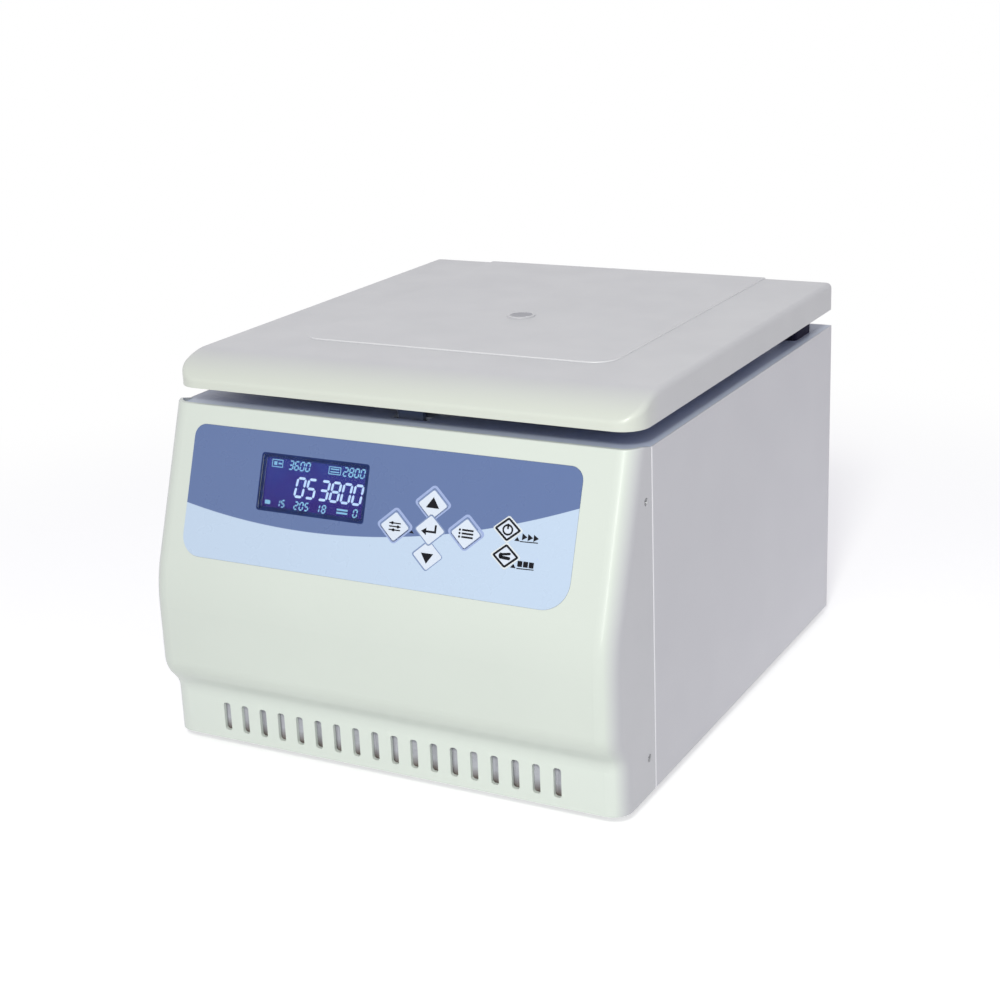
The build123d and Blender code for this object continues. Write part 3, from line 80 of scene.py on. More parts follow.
def addCamera(setup):
    yaw, pitch, roll = setup["yaw"], setup["pitch"], setup["roll"]
    ahead = Vector((math.sin(yaw) * math.cos(pitch), math.cos(yaw) * math.cos(pitch), -math.sin(pitch)))
    right = Vector((math.cos(yaw), -math.sin(yaw), 0))
    above = right.cross(ahead)
    tiltedRight = math.cos(roll) * right + math.sin(roll) * above
    tiltedAbove = math.cos(roll) * above - math.sin(roll) * right
    data = bpy.data.cameras.new("camera")
    data.sensor_width = setup["sensor"]
    data.lens = setup["lens"]
    data.clip_start, data.clip_end = setup["clip"]
    camera = bpy.data.objects.new("camera", data)
    scene.collection.objects.link(camera)
    turn = Matrix((tiltedRight, tiltedAbove, -ahead)).transposed()
    camera.matrix_world = Matrix.Translation(setup["place"]) @ turn.to_4x4()
    scene.camera = camera


addCamera(cameraSetup)
print("camera set")


# Helpers for materials

def startMaterial(name, shaderSettings):
    material = bpy.data.materials.new(name)
    material.use_nodes = True
    shader = material.node_tree.nodes["Principled BSDF"]
    for socket, value in shaderSettings.items():
        shader.inputs[socket].default_value = value
    return material, shader


def addNode(material, kind, inputs=None, **settings):
    node = material.node_tree.nodes.new("ShaderNode" + kind)
    for key, value in settings.items():
        setattr(node, key, value)
    for socket, value in (inputs or {}).items():
        if isinstance(value, bpy.types.NodeSocket):
            join(material, value, node, socket)
        else:
            node.inputs[socket].default_value = value
    return node


def join(material, output, node, socket):
    material.node_tree.links.new(output, node.inputs[socket])


def placeOf(material, scale=(1, 1, 1), location=(0, 0, 0), rotation=(0, 0, 0), kind="POINT"):
    coordinate = addNode(material, "TexCoord")
    settings = {"Vector": coordinate.outputs["Object"], "Location": location, "Rotation": rotation,
                "Scale": scale}
    return addNode(material, "Mapping", settings, vector_type=kind).outputs["Vector"]


# Place in the keypad face's own frame: across, up the slope and out of it
def slopePlaceOf(material):
    return placeOf(material, location=slopeOrigin, rotation=(slopeTurn, 0, 0), kind="TEXTURE")


noiseDetail = {"clouds": 3, "patches": 4, "grain": 2, "waves": 1, "streaks": 3}


def noiseOf(material, place, scale, kind):
    settings = {"Vector": place, "Scale": scale, "Detail": noiseDetail[kind]}
    return addNode(material, "TexNoise", settings).outputs["Fac"]


def mathOf(material, operation, *values, clamp=False):
    inputs = dict(enumerate(values))
    return addNode(material, "Math", inputs, operation=operation, use_clamp=clamp).outputs[0]


# Stretches a value over a new range; a noise lies mostly between 0.3 and 0.7
def spread(material, value, low, high, fromLow=0.3, fromHigh=0.7):
    inputs = {"Value": value, "From Min": fromLow, "From Max": fromHigh, "To Min": low, "To Max": high}
    return addNode(material, "MapRange", inputs).outputs["Result"]


def mixOf(material, factor, first, second):
    node = addNode(material, "Mix", data_type="RGBA")
    join(material, factor, node, 0)
    for index, value in ((6, first), (7, second)):  # the two colours
        if isinstance(value, bpy.types.NodeSocket):
            join(material, value, node, index)
        else:
            node.inputs[index].default_value = (*value, 1)
    return node.outputs[2]


def bumpOf(material, height, distance, before=None):
    inputs = {"Height": height, "Distance": distance}
    if before is not None:
        inputs["Normal"] = before
    return addNode(material, "Bump", inputs).outputs["Normal"]


def shadeOf(color, amount):
    return tuple(channel * amount for channel in color)


# How far a point lies along one axis between two places, from 0 to 1
def zoneOf(material, place, zone):
    parts = addNode(material, "SeparateXYZ", {"Vector": place})
    along = parts.outputs[zone["axis"]]
    if zone.get("both"):
        along = mathOf(material, "ABSOLUTE", along)
    return spread(material, along, 0, 1, zone["from"], zone["to"])


cornerShadeAndDust = {"samples": 4, "from": 0.35, "to": 0.95}  # openness at full dust and painted shade, and at none


# Moulded or painted surface: cloudy tone, fine grain, uneven gloss, and corners darkened by dust and painted
# shade
def coatedSurface(name, look):
    material, shader = startMaterial(name, look.get("shader", {}))
    place = placeOf(material)
    clouds = spread(material, noiseOf(material, place, look["cloudScale"], "clouds"), 0, 1)
    tone = mixOf(material, clouds, look["color"], shadeOf(look["color"], look["cloudShade"]))
    for zone in look.get("zones", ()):
        tone = mixOf(material, zoneOf(material, place, zone), tone, zone["color"])
    # Painted shade with dust: corners and recesses found by occlusion are darkened towards a dark grey
    if "shadeAndDust" in look:
        corners = addNode(material, "AmbientOcclusion", {"Distance": look["shadeAndDustReach"]},
                          samples=cornerShadeAndDust["samples"])
        depth = spread(material, corners.outputs["AO"], look["shadeAndDust"], 0, cornerShadeAndDust["from"],
                       cornerShadeAndDust["to"])
        tone = mixOf(material, depth, tone, look["shadeAndDustColor"])
    join(material, tone, shader, "Base Color")
    patches = noiseOf(material, place, look["patchScale"], "patches")
    join(material, spread(material, patches, *look["roughness"]), shader, "Roughness")
    grain = noiseOf(material, place, look["grainScale"], "grain")
    waves = noiseOf(material, place, look["waveScale"], "waves")
    normal = bumpOf(material, grain, look["grainDepth"])
    normal = bumpOf(material, waves, look["waveDepth"], before=normal)
    join(material, normal, shader, "Normal")
    return material


streakGloss = 0.08  # roughness that the streaks of a brushed metal add


# Metal with fine parallel or circular brushing
def brushedMetal(name, look):
    material, shader = startMaterial(name, {"Metallic": 1.0, **look.get("shader", {})})
    if look.get("round"):
        place = placeOf(material, location=(0, -rotorY, 0))
        parts = addNode(material, "SeparateXYZ", {"Vector": place})
        flat = addNode(material, "CombineXYZ", {"X": parts.outputs["X"], "Y": parts.outputs["Y"]})
        radius = addNode(material, "VectorMath", {0: flat.outputs[0]}, operation="LENGTH").outputs["Value"]
        angle = mathOf(material, "ARCTAN2", parts.outputs["Y"], parts.outputs["X"])
        height = mathOf(material, "MULTIPLY", parts.outputs["Z"], look["lineScale"])
        lines = mathOf(material, "MULTIPLY", radius, look["lineScale"])
        sweepAngle = mathOf(material, "MULTIPLY", angle, look["acrossScale"])
        streakPlace = addNode(material, "CombineXYZ", {"X": lines, "Y": height, "Z": sweepAngle}).outputs[0]
        streaks = noiseOf(material, streakPlace, 1.0, "streaks")
    else:
        stretched = placeOf(material, scale=look["stretch"])
        streaks = noiseOf(material, stretched, look["lineScale"], "streaks")
    patches = noiseOf(material, placeOf(material), look["patchScale"], "clouds")
    lineColor = shadeOf(look["color"], look["lineShade"])
    tone = mixOf(material, spread(material, streaks, 0, 1), look["color"], lineColor)
    join(material, tone, shader, "Base Color")
    gloss = spread(material, patches, *look["roughness"])
    gloss = mathOf(material, "ADD", gloss, spread(material, streaks, 0, streakGloss))
    join(material, gloss, shader, "Roughness")
    join(material, bumpOf(material, streaks, look["lineDepth"]), shader, "Normal")
    return material


def dress(material, *names):
    for name in names:
        mesh = nodes[name].data
        mesh.materials.clear()
        mesh.materials.append(material)


# Materials of the pieces that keep their solid shape

fasciaLook = {
    "color": (0.682, 0.730, 0.672),
    "cloudScale": 7.0, "cloudShade": 0.975,
    "patchScale": 28.0, "roughness": (0.30, 0.38),
    "grainScale": 1600.0, "grainDepth": 0.00002,
    "waveScale": 9.0, "waveDepth": 0.0004,
    "shadeAndDust": 0.25, "shadeAndDustReach": 0.006, "shadeAndDustColor": (0.33, 0.34, 0.36),
    "zones": [
        # Painted light: the skirt below the undercut is lighter
        {"axis": "Z", "from": 0.075, "to": 0.055, "color": (0.725, 0.776, 0.722)},
        # Painted shade: the flanks turned to the sides are darker and lavender
        {"axis": "X", "both": True, "from": 0.211, "to": 0.2195, "color": (0.585, 0.585, 0.615)},
    ],
    "shader": {"IOR": 1.49, "Coat Weight": 0.25, "Coat Roughness": 0.12},
}
lidColor = (0.616, 0.617, 0.638)
lidLook = {
    **fasciaLook,
    "color": lidColor,
    "shadeAndDust": 0.12,
    "zones": [
        # Painted light: the front nose is lighter and greener, as lit from the front
        {"axis": "Y", "from": -0.165, "to": -0.200, "color": (0.672, 0.702, 0.634)},
        {"axis": "Z", "from": 0.3410, "to": 0.3412, "color": (0.73, 0.73, 0.745)},  # painted highlight along the raised panel's edge
        # the painted highlight stops here, back to the lid's colour
        {"axis": "Z", "from": 0.3420, "to": 0.3422, "color": lidColor},
    ],
    "roughness": (0.33, 0.42),
    "shader": {"IOR": 1.49, "Coat Weight": 0.2, "Coat Roughness": 0.16},
}
paintLook = {
    "color": (0.715, 0.712, 0.750),
    "cloudScale": 5.0, "cloudShade": 0.97,
    "patchScale": 18.0, "roughness": (0.40, 0.50),
    "grainScale": 700.0, "grainDepth": 0.00006,
    "waveScale": 260.0, "waveDepth": 0.00008,
    "shadeAndDust": 0.5, "shadeAndDustReach": 0.008, "shadeAndDustColor": (0.28, 0.29, 0.32),
    "shader": {"IOR": 1.5},
}
cabinetLook = {
    **paintLook,
    "zones": [
        # Painted light: lighter towards the bottom
        {"axis": "Z", "from": 0.28, "to": 0.03, "color": (0.800, 0.797, 0.838)},
        # Painted shade: darker towards the front
        {"axis": "Y", "from": 0.22, "to": -0.16, "color": (0.665, 0.662, 0.700)},
        # Painted highlight: a pale strip along the front edge at the seam
        {"axis": "Y", "from": -0.1805, "to": -0.1812, "color": (0.93, 0.92, 0.96)},
    ],
}
deckLook = {
    **paintLook,
    "color": (0.62, 0.67, 0.79),
    "roughness": (0.34, 0.44),
    "shadeAndDust": 0.15,
}
# Painted shade: the lid plate is dark navy so the gap under the lid reads dark and blue
lidPlateShadeLook = {
    **paintLook,
    "color": (0.09, 0.15, 0.36),
    "roughness": (0.45, 0.55),
}
# Painted shade: the striker is darkened to match the shade round it under the lid
strikerShadeLook = {
    **lidPlateShadeLook,
    "color": (0.07, 0.10, 0.19),
}
rubberLook = {
    "color": (0.022, 0.022, 0.024),
    "cloudScale": 40.0, "cloudShade": 1.5,
    "patchScale": 60.0, "roughness": (0.62, 0.78),
    "grainScale": 1400.0, "grainDepth": 0.00006,
    "waveScale": 120.0, "waveDepth": 0.00010,
}
blackPlasticLook = {
    "color": (0.018, 0.018, 0.020),
    "cloudScale": 30.0, "cloudShade": 1.35,
    "patchScale": 45.0, "roughness": (0.38, 0.50),
    "grainScale": 1800.0, "grainDepth": 0.00004,
    "waveScale": 80.0, "waveDepth": 0.00006,
}
motorLook = {
    "color": (0.10, 0.105, 0.11),
    "cloudScale": 22.0, "cloudShade": 1.2,
    "patchScale": 30.0, "roughness": (0.45, 0.60),
    "grainScale": 900.0, "grainDepth": 0.00010,
    "waveScale": 90.0, "waveDepth": 0.00010,
    "shader": {"Metallic": 0.6},
}
copperLook = {
    "color": (0.55, 0.24, 0.09),
    "cloudScale": 60.0, "cloudShade": 0.75,
    "patchScale": 90.0, "roughness": (0.30, 0.45),
    "grainScale": 500.0, "grainDepth": 0.00020,
    "waveScale": 160.0, "waveDepth": 0.00020,
    "shader": {"Metallic": 0.9},
}
boardLook = {
    "color": (0.02, 0.15, 0.06),
    "cloudScale": 90.0, "cloudShade": 0.7,
    "patchScale": 60.0, "roughness": (0.30, 0.42),
    "grainScale": 700.0, "grainDepth": 0.00005,
    "waveScale": 120.0, "waveDepth": 0.00008,
}
yokeLook = {
    "color": (0.60, 0.61, 0.63), "stretch": (1, 30, 30), "lineScale": 40.0, "lineShade": 0.9,
    "lineDepth": 0.00002, "patchScale": 24.0, "roughness": (0.28, 0.38),
}
bowlLook = {
    "color": (0.66, 0.67, 0.69), "round": True, "lineScale": 1500.0, "acrossScale": 6.0, "lineShade": 0.88,
    "lineDepth": 0.00002, "patchScale": 16.0, "roughness": (0.22, 0.32),
}
plateLook = {
    "color": (0.56, 0.57, 0.58), "stretch": (1, 1, 1), "lineScale": 70.0, "lineShade": 0.82,
    "lineDepth": 0.00003, "patchScale": 12.0, "roughness": (0.34, 0.48),
}
screwLook = {
    "color": (0.36, 0.36, 0.38), "stretch": (1, 1, 1), "lineScale": 900.0, "lineShade": 0.8,
    "lineDepth": 0.00001, "patchScale": 200.0, "roughness": (0.26, 0.36),
}

casePlastic = coatedSurface("casePlastic", fasciaLook)
lidPlastic = coatedSurface("lidPlastic", lidLook)
cabinetPaint = coatedSurface("cabinetPaint", cabinetLook)
deckPaint = coatedSurface("deckPaint", deckLook)
lidPlateShadePaint = coatedSurface("lidPlateShadePaint", lidPlateShadeLook)
strikerShadePaint = coatedSurface("strikerShadePaint", strikerShadeLook)
blackRubber = coatedSurface("blackRubber", rubberLook)
blackPlastic = coatedSurface("blackPlastic", blackPlasticLook)
motorPaint = coatedSurface("motorPaint", motorLook)
copperWinding = coatedSurface("copperWinding", copperLook)
boardLacquer = coatedSurface("boardLacquer", boardLook)
yokeMetal = brushedMetal("yokeMetal", yokeLook)
bowlSteel = brushedMetal("bowlSteel", bowlLook)
galvanised = brushedMetal("galvanised", plateLook)
screwSteel = brushedMetal("screwSteel", screwLook)

dress(casePlastic, "front_fascia")
dress(lidPlastic, "lid_cover", "sight_bezel")
dress(cabinetPaint, "cabinet_shell")
dress(deckPaint, "top_deck")
dress(lidPlateShadePaint, "lid_plate")
dress(strikerShadePaint, "striker")
dress(blackRubber, "rubber_feet", "chamber_seal", "motor_isolators", "shaft_boot", "bucket_pad_right",
      "bucket_pad_left")
dress(blackPlastic, "fan_frame", "fan_impeller", "power_inlet", "switch_frame", "power_rocker", "fuse_holder",
      "wiring_loom", "lock_housing")
dress(motorPaint, "motor_housing", "drive_unit", "motor_armature", "chamber_guard")
dress(copperWinding, "motor_stator", "lock_solenoid")
dress(boardLacquer, "control_board")
dress(yokeMetal, "rotor_yoke", "rotor_nut", "bucket_right", "bucket_left")
dress(bowlSteel, "chamber_bowl")
dress(galvanised, "base_plate", "motor_plate", "lid_stiffener", "hinge_brackets", "hinge_leaves")
dress(screwSteel, "fascia_screws", "foot_screws", "lid_screws", "rear_screws", "inlet_screws", "hinge_pins",
      "hinge_springs", "trunnion_pins", "drive_shaft", "motor_bearings", "lock_bolt")
print("metal, paint and rubber ready")

# Printed film: dark field above a rising curve, pale field below it
filmLook = {
    "darkField": (0.098, 0.156, 0.345),
    "paleField": (0.520, 0.635, 0.800),
    "curve": (-88.162463, 0.108541522, 7.7191736e-4),  # millimetres up the slope against millimetres across
    "softness": 0.25,
    "cloudScale": 30.0, "cloudTint": 0.008,
    "patchScale": 40.0, "roughness": (0.24, 0.32),
    "grainScale": 900.0, "grainDepth": 0.000001,
    "shader": {"IOR": 1.56, "Coat Weight": 0.15, "Coat Roughness": 0.1},
}


def printedFilm(name, look):
    material, shader = startMaterial(name, look["shader"])
    place = slopePlaceOf(material)
    parts = addNode(material, "SeparateXYZ", {"Vector": place})
    across = mathOf(material, "MULTIPLY", parts.outputs["X"], 1 / mm)
    up = mathOf(material, "MULTIPLY", parts.outputs["Y"], 1 / mm)
    start, rise, bow = look["curve"]
    line = mathOf(material, "MULTIPLY_ADD", across, bow, rise)
    line = mathOf(material, "MULTIPLY_ADD", across, line, start)
    over = mathOf(material, "SUBTRACT", up, line)
    dark = spread(material, over, 0, 1, -look["softness"], look["softness"])
    field = mixOf(material, dark, look["paleField"], look["darkField"])
    cloud = noiseOf(material, place, look["cloudScale"], "grain")
    field = mixOf(material, spread(material, cloud, 0, look["cloudTint"], 0, 1), field, (1, 1, 1))
    join(material, field, shader, "Base Color")
    patches = noiseOf(material, place, look["patchScale"], "clouds")
    join(material, spread(material, patches, *look["roughness"], 0, 1), shader, "Roughness")
    grain = noiseOf(material, place, look["grainScale"], "grain")
    join(material, bumpOf(material, grain, look["grainDepth"]), shader, "Normal")
    return material


dress(printedFilm("printedFilm", filmLook), "membrane_overlay")

keyLook = {
    "color": (0.70, 0.76, 0.87),
    "cloudScale": 60.0, "cloudShade": 0.97,
    "patchScale": 90.0, "roughness": (0.26, 0.34),
    "grainScale": 2600.0, "grainDepth": 0.000003,
    "waveScale": 200.0, "waveDepth": 0.00002,
}
dress(coatedSurface("keyFilm", keyLook), "key_up", "key_set", "key_enter", "key_prog", "key_down",
      "key_start", "key_stop")

# Clear windows
glassLook = {
    "shader": {"Base Color": (0.93, 0.95, 1.0, 1), "Transmission Weight": 1.0, "IOR": 1.14},
    "smudgeScale": 35.0, "roughness": (0.01, 0.05),
    "waveScale": 60.0, "waveDepth": 0.00002,
}
sightLook = {
    **glassLook,
    "shader": {**glassLook["shader"], "Base Color": (0.58, 0.58, 0.62, 1), "Transmission Weight": 0.25},
    "roughness": (0.30, 0.42),
}


def clearWindow(name, look):
    material, shader = startMaterial(name, look["shader"])
    place = placeOf(material)
    smudges = noiseOf(material, place, look["smudgeScale"], "patches")
    join(material, spread(material, smudges, *look["roughness"]), shader, "Roughness")
    waves = noiseOf(material, place, look["waveScale"], "waves")
    join(material, bumpOf(material, waves, look["waveDepth"]), shader, "Normal")
    return material


dress(clearWindow("windowClear", glassLook), "display_window")
dress(clearWindow("sightClear", sightLook), "sight_window")

# Lit display behind its window, violet in the middle and bluer towards the top
displayLook = {
    "low": (0.027, 0.014, 0.134), "high": (0.024, 0.033, 0.176),
    "from": -0.080, "to": -0.030,  # metres up the slope
    "cloudScale": 70.0, "cloudShare": 0.25,
    "shader": {"Roughness": 0.5, "IOR": 1.2, "Emission Strength": 0.30},
}


def litDisplay(name, look):
    material, shader = startMaterial(name, look["shader"])
    place = slopePlaceOf(material)
    parts = addNode(material, "SeparateXYZ", {"Vector": place})
    height = spread(material, parts.outputs["Y"], 0, 1, look["from"], look["to"])
    cloud = noiseOf(material, place, look["cloudScale"], "grain")
    cloud = spread(material, cloud, -look["cloudShare"], look["cloudShare"])
    blend = mathOf(material, "ADD", height, cloud, clamp=True)
    color = mixOf(material, blend, look["low"], look["high"])
    join(material, color, shader, "Base Color")
    join(material, color, shader, "Emission Color")
    return material


dress(litDisplay("litDisplay", displayLook), "lcd_module")
print("film, windows and display ready")


# Helpers for modelling: edit mode, picking by place, and settling a finished piece

onSlope = Matrix.Translation(slopeOrigin) @ Matrix.Rotation(slopeTurn, 4, "X")
tiny = 1e-6  # metres, under which two places count as one
nearly = 0.9  # share of a height or of a straight normal that counts as the whole


# A move, in millimetres
def shift(*place):
    return Matrix.Translation([value * mm for value in place])


def clearSelection():
    bpy.ops.object.select_all(action="DESELECT")


def choose(piece):
    clearSelection()
    bpy.context.view_layer.objects.active = piece
    piece.select_set(True)


def openEdit(name):
    piece = bpy.context.object
    piece.name = name
    piece.data.name = name
    bpy.ops.object.mode_set(mode="EDIT")
    return piece


def closeEdit():
    bpy.ops.object.mode_set(mode="OBJECT")


def pick(piece, kind, test):
    bpy.ops.mesh.select_mode(type=kind)
    bpy.ops.mesh.select_all(action="DESELECT")
    shape = bmesh.from_edit_mesh(piece.data)
    parts = {"VERT": shape.verts, "EDGE": shape.edges, "FACE": shape.faces}[kind]
    for part in parts:
        part.select_set(bool(test(part)))
    shape.select_flush_mode()
    bmesh.update_edit_mesh(piece.data)


def pickAll():
    bpy.ops.mesh.select_all(action="SELECT")


def pull(x=0.0, y=0.0, z=0.0):
    bpy.ops.mesh.extrude_region_move(TRANSFORM_OT_translate={"value": (x, y, z)})


def stretch(x, y, z, middle=(0, 0, 0)):
    bpy.ops.transform.resize(value=(x, y, z), center_override=middle)


def faceOutwards():
    pickAll()
    bpy.ops.mesh.normals_make_consistent(inside=False)


def applyModifier(piece, kind, **settings):
    choose(piece)
    modifier = piece.modifiers.new(kind.lower(), kind)
    for key, value in settings.items():
        setattr(modifier, key, value)
    bpy.ops.object.modifier_apply(modifier=modifier.name)


def settle(piece, material, body, place=None, smooth=None):
    if place is not None:
        piece.data.transform(place)
    piece.data.materials.clear()
    piece.data.materials.append(material)
    if smooth is not None:
        choose(piece)
        bpy.ops.object.shade_smooth_by_angle(angle=math.radians(smooth))
    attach(piece, body)


def copyOf(piece, name, place):
    twin = bpy.data.objects.new(name, piece.data.copy())
    scene.collection.objects.link(twin)
    twin.data.transform(place)
    return twin


def joinPieces(name, pieces):
    clearSelection()
    for piece in pieces:
        piece.select_set(True)
    bpy.context.view_layer.objects.active = pieces[0]
    bpy.ops.object.join()
    pieces[0].name = name
    pieces[0].data.name = name
    return pieces[0]


outlineCorners = {"triangle": 3, "diamond": 4, "disc": 40}
rootThree = 3 ** 0.5


# One flat outline in millimetres, turned, rounded at its corners and made a frame if asked
def addOutline(shape):
    x, y = (value * mm for value in shape["at"])
    width, height = shape["size"]
    kind = shape["kind"]
    if kind == "bar":
        bpy.ops.mesh.primitive_plane_add(size=mm, location=(x, y, 0))
    else:
        radius = mm / rootThree if kind == "triangle" else mm / 2
        bpy.ops.mesh.primitive_circle_add(vertices=outlineCorners[kind], radius=radius, fill_type="NGON",
                                          location=(x, y, 0))
    if kind == "triangle":
        height = height / (0.5 * rootThree)
    if bpy.context.object.mode != "EDIT":
        bpy.ops.object.transform_apply(location=True, rotation=False, scale=False)
        bpy.ops.object.mode_set(mode="EDIT")
        bpy.ops.mesh.select_mode(type="FACE")
        pickAll()
    stretch(width, height, 1, middle=(x, y, 0))
    if shape.get("turn"):
        bpy.ops.transform.rotate(value=-math.radians(shape["turn"]), orient_axis="Z",
                                 center_override=(x, y, 0))
    if shape.get("round"):
        bpy.ops.mesh.bevel(offset=shape["round"] * mm, segments=4, affect="VERTICES")
        bpy.ops.mesh.select_linked()
    if shape.get("band"):
        bpy.ops.mesh.inset(thickness=shape["band"] * mm, use_even_offset=True)
        bpy.ops.mesh.delete(type="FACE")


def bar(x, y, width, height, **more):
    return {"kind": "bar", "at": (x, y), "size": (width, height), **more}


def disc(x, y, width, height, **more):
    return {"kind": "disc", "at": (x, y), "size": (width, height), **more}


def triangle(x, y, width, height, turn=0):
    return {"kind": "triangle", "at": (x, y), "size": (width, height), "turn": turn}


def diamondFrame(x, y, size, corner, band):
    return {"kind": "diamond", "at": (x, y), "size": size, "round": corner, "band": band}


# Flat printed marks of one ink as one piece, lying between two heights on the sloping face or another plane
def printMarks(name, shapes, low, high, material, body, slotName, trim=None, plane=onSlope):
    clearSelection()
    for shape in shapes:
        if bpy.context.object and bpy.context.object.mode == "EDIT":
            bpy.ops.mesh.select_mode(type="FACE")
            bpy.ops.mesh.select_all(action="DESELECT")
        addOutline(shape)
    piece = bpy.context.object
    piece.name = name
    piece.data.name = name
    if trim:
        trim(piece)
    pickAll()
    pull(z=(high - low) * mm)
    faceOutwards()
    closeEdit()
    settle(piece, material, body, plane @ shift(0, 0, low))


# Cuts away what lies under the neighbouring diamond, one side of the middle line at a time
def trimByDiamond(middle, half, above):
    def trim(piece):
        x, y = (value * mm for value in middle)
        wide, high = (value * mm for value in half)
        pickAll()
        bpy.ops.mesh.bisect(plane_co=(x, 0, 0), plane_no=(1, 0, 0))
        for side in (1, -1):
            pick(piece, "FACE", lambda face: (face.calc_center_median().x - x) * side > 0)
            normal = Vector((side * high, above * wide, 0)).normalized()
            bpy.ops.mesh.bisect(plane_co=(x, y + above * high, 0), plane_no=normal, clear_inner=True)
    return trim


# Prints on the keys and the film, and a painted highlight round three keys

inkLook = {
    "color": (0.007, 0.007, 0.010),
    "cloudScale": 90.0, "cloudShade": 1.5,
    "patchScale": 120.0, "roughness": (0.28, 0.38),
    "grainScale": 2400.0, "grainDepth": 0.00001,
    "waveScale": 300.0, "waveDepth": 0.00001,
    "shader": {"Specular IOR Level": 0.12},
}
blackInk = coatedSurface("blackInk", inkLook)
lineInk = coatedSurface("lineInk", {**inkLook, "color": (0.25, 0.32, 0.51), "cloudShade": 0.93})
# Painted highlight: a lavender band shifted up from each key's ring, for the light on the embossed keys'
# upper edges
haloHighlightInk = coatedSurface("haloHighlightInk", {**inkLook, "color": (0.36, 0.44, 0.70), "cloudShade": 0.96})
whiteInk = coatedSurface("whiteInk", {**inkLook, "color": (0.76, 0.79, 0.80), "cloudShade": 0.96})

keyPrints = {
    "places": {"key_up": (50, -56), "key_set": (17.4, -77.5), "key_enter": (50, -76.5),
               "key_prog": (82.6, -75.5), "key_down": (50, -97), "key_start": (119.2, -67.5),
               "key_stop": (119.8, -88.5)},
    "ringSize": (29.8, 26.4), "ringCorner": 2.2, "ringBand": 1.25,
    "haloSize": (35.6, 31.6), "haloCorner": 3.4, "haloBand": 2.1, "haloShift": 0.9,
    "middleGap": (15.1, 13.4),  # half width and half height that the middle key's diamond keeps clear
    "startSize": (23.8, 19.4), "startCorner": 1.7, "startLine": 1.75,
    "glowSize": (27.2, 22.2), "glowBand": 1.1,
    "keyTop": 0.5, "filmTop": 0.2, "ink": 0.05, "sink": 0.01,  # millimetres out of the sloping face
}


# Lowest and highest point of a print on a key or on the film
def inkSpan(top):
    return top - keyPrints["sink"], top + keyPrints["ink"]


def addKeyPrints(look):
    onKey, onFilm = inkSpan(look["keyTop"]), inkSpan(look["filmTop"])
    above = {"key_up": 1, "key_down": -1}
    for name, (x, y) in look["places"].items():
        if name in ("key_start", "key_stop"):
            line = diamondFrame(x, y, look["startSize"], look["startCorner"], look["startLine"])
            printMarks(name + "_frame", [line], *onKey, blackInk, name, "key_film")
            glow = diamondFrame(x, y, look["glowSize"], look["startCorner"], look["glowBand"])
            printMarks(name + "_glow", [glow], *onFilm, whiteInk, "cabinet", "overlay_film")
            continue
        side = above.get(name)
        trim = trimByDiamond(look["places"]["key_enter"], look["middleGap"], side) if side else None
        ring = diamondFrame(x, y, look["ringSize"], look["ringCorner"], look["ringBand"])
        printMarks(name + "_ring", [ring], *onFilm, lineInk, "cabinet", "overlay_film", trim)
        # painted highlight above the rings of the upper keys
        if name in ("key_up", "key_set", "key_prog"):
            halo = diamondFrame(x, y + look["haloShift"], look["haloSize"], look["haloCorner"],
                                look["haloBand"])
            printMarks(name + "_halo", [halo], *onFilm, haloHighlightInk, "cabinet", "overlay_film", trim)
    print("key frames printed")


addKeyPrints(keyPrints)

keyMarks = {
    "key_up": [triangle(50, -55.8, 12.2, 8.8)],
    "key_down": [triangle(50, -98.0, 11.4, 8.4, turn=180)],
    "key_set": [
        *[bar(17.4, y, 10.8, 1.0, round=0.2) for y in (-74.7, -77.5, -80.3)],
        *[disc(x, y, 2.5, 2.5) for x, y in ((14.8, -74.7), (20.4, -77.5), (16.4, -80.3))],
    ],
    "key_enter": [
        bar(51.2, -77.8, 9.4, 1.7, round=0.2),
        bar(55.0, -75.2, 1.8, 6.4, round=0.2),
        triangle(45.2, -77.8, 6.0, 4.6, turn=90),
    ],
    "key_prog": [
        *[disc(77.0, y, 1.9, 1.9) for y in (-72.7, -75.5, -78.3)],
        *[bar(84.2, y, 10.4, 1.5, round=0.2) for y in (-72.7, -75.5, -78.3)],
    ],
    "key_start": [
        disc(119.2, -67.9, 9.6, 9.0, band=1.5),
        bar(119.2, -65.2, 1.6, 4.4, round=0.2),
    ],
    "key_stop": [
        bar(119.8, -87.0, 9.0, 2.0, turn=9, round=0.9),
        bar(119.4, -90.0, 9.8, 2.6, turn=-3, round=1.2),
        disc(115.6, -88.6, 3.4, 4.8),
    ],
}
filmMarks = [
    triangle(128.2, -74.6, 5.0, 3.2),
    *[triangle(x, -71.8, 5.6, 4.6, turn=-90) for x in (133.8, 138.8, 143.8)],
    bar(138.6, -75.4, 15.6, 0.8, turn=2),
    triangle(127.4, -95.8, 5.0, 3.2),
    *[bar(x, -93.0, 4.2, 4.6, round=0.3) for x in (133.0, 138.0, 143.0)],
    bar(138.0, -96.6, 15.0, 0.8, turn=2),
    triangle(33.4, -80.2, 4.4, 2.4),
]

for keyName, shapes in keyMarks.items():
    printMarks(keyName + "_mark", shapes, *inkSpan(keyPrints["keyTop"]), blackInk, keyName, "key_film")
printMarks("film_marks", filmMarks, *inkSpan(keyPrints["filmTop"]), blackInk, "cabinet", "overlay_film")
print("key marks printed")


# Lit digits on the display, all copies of one segment

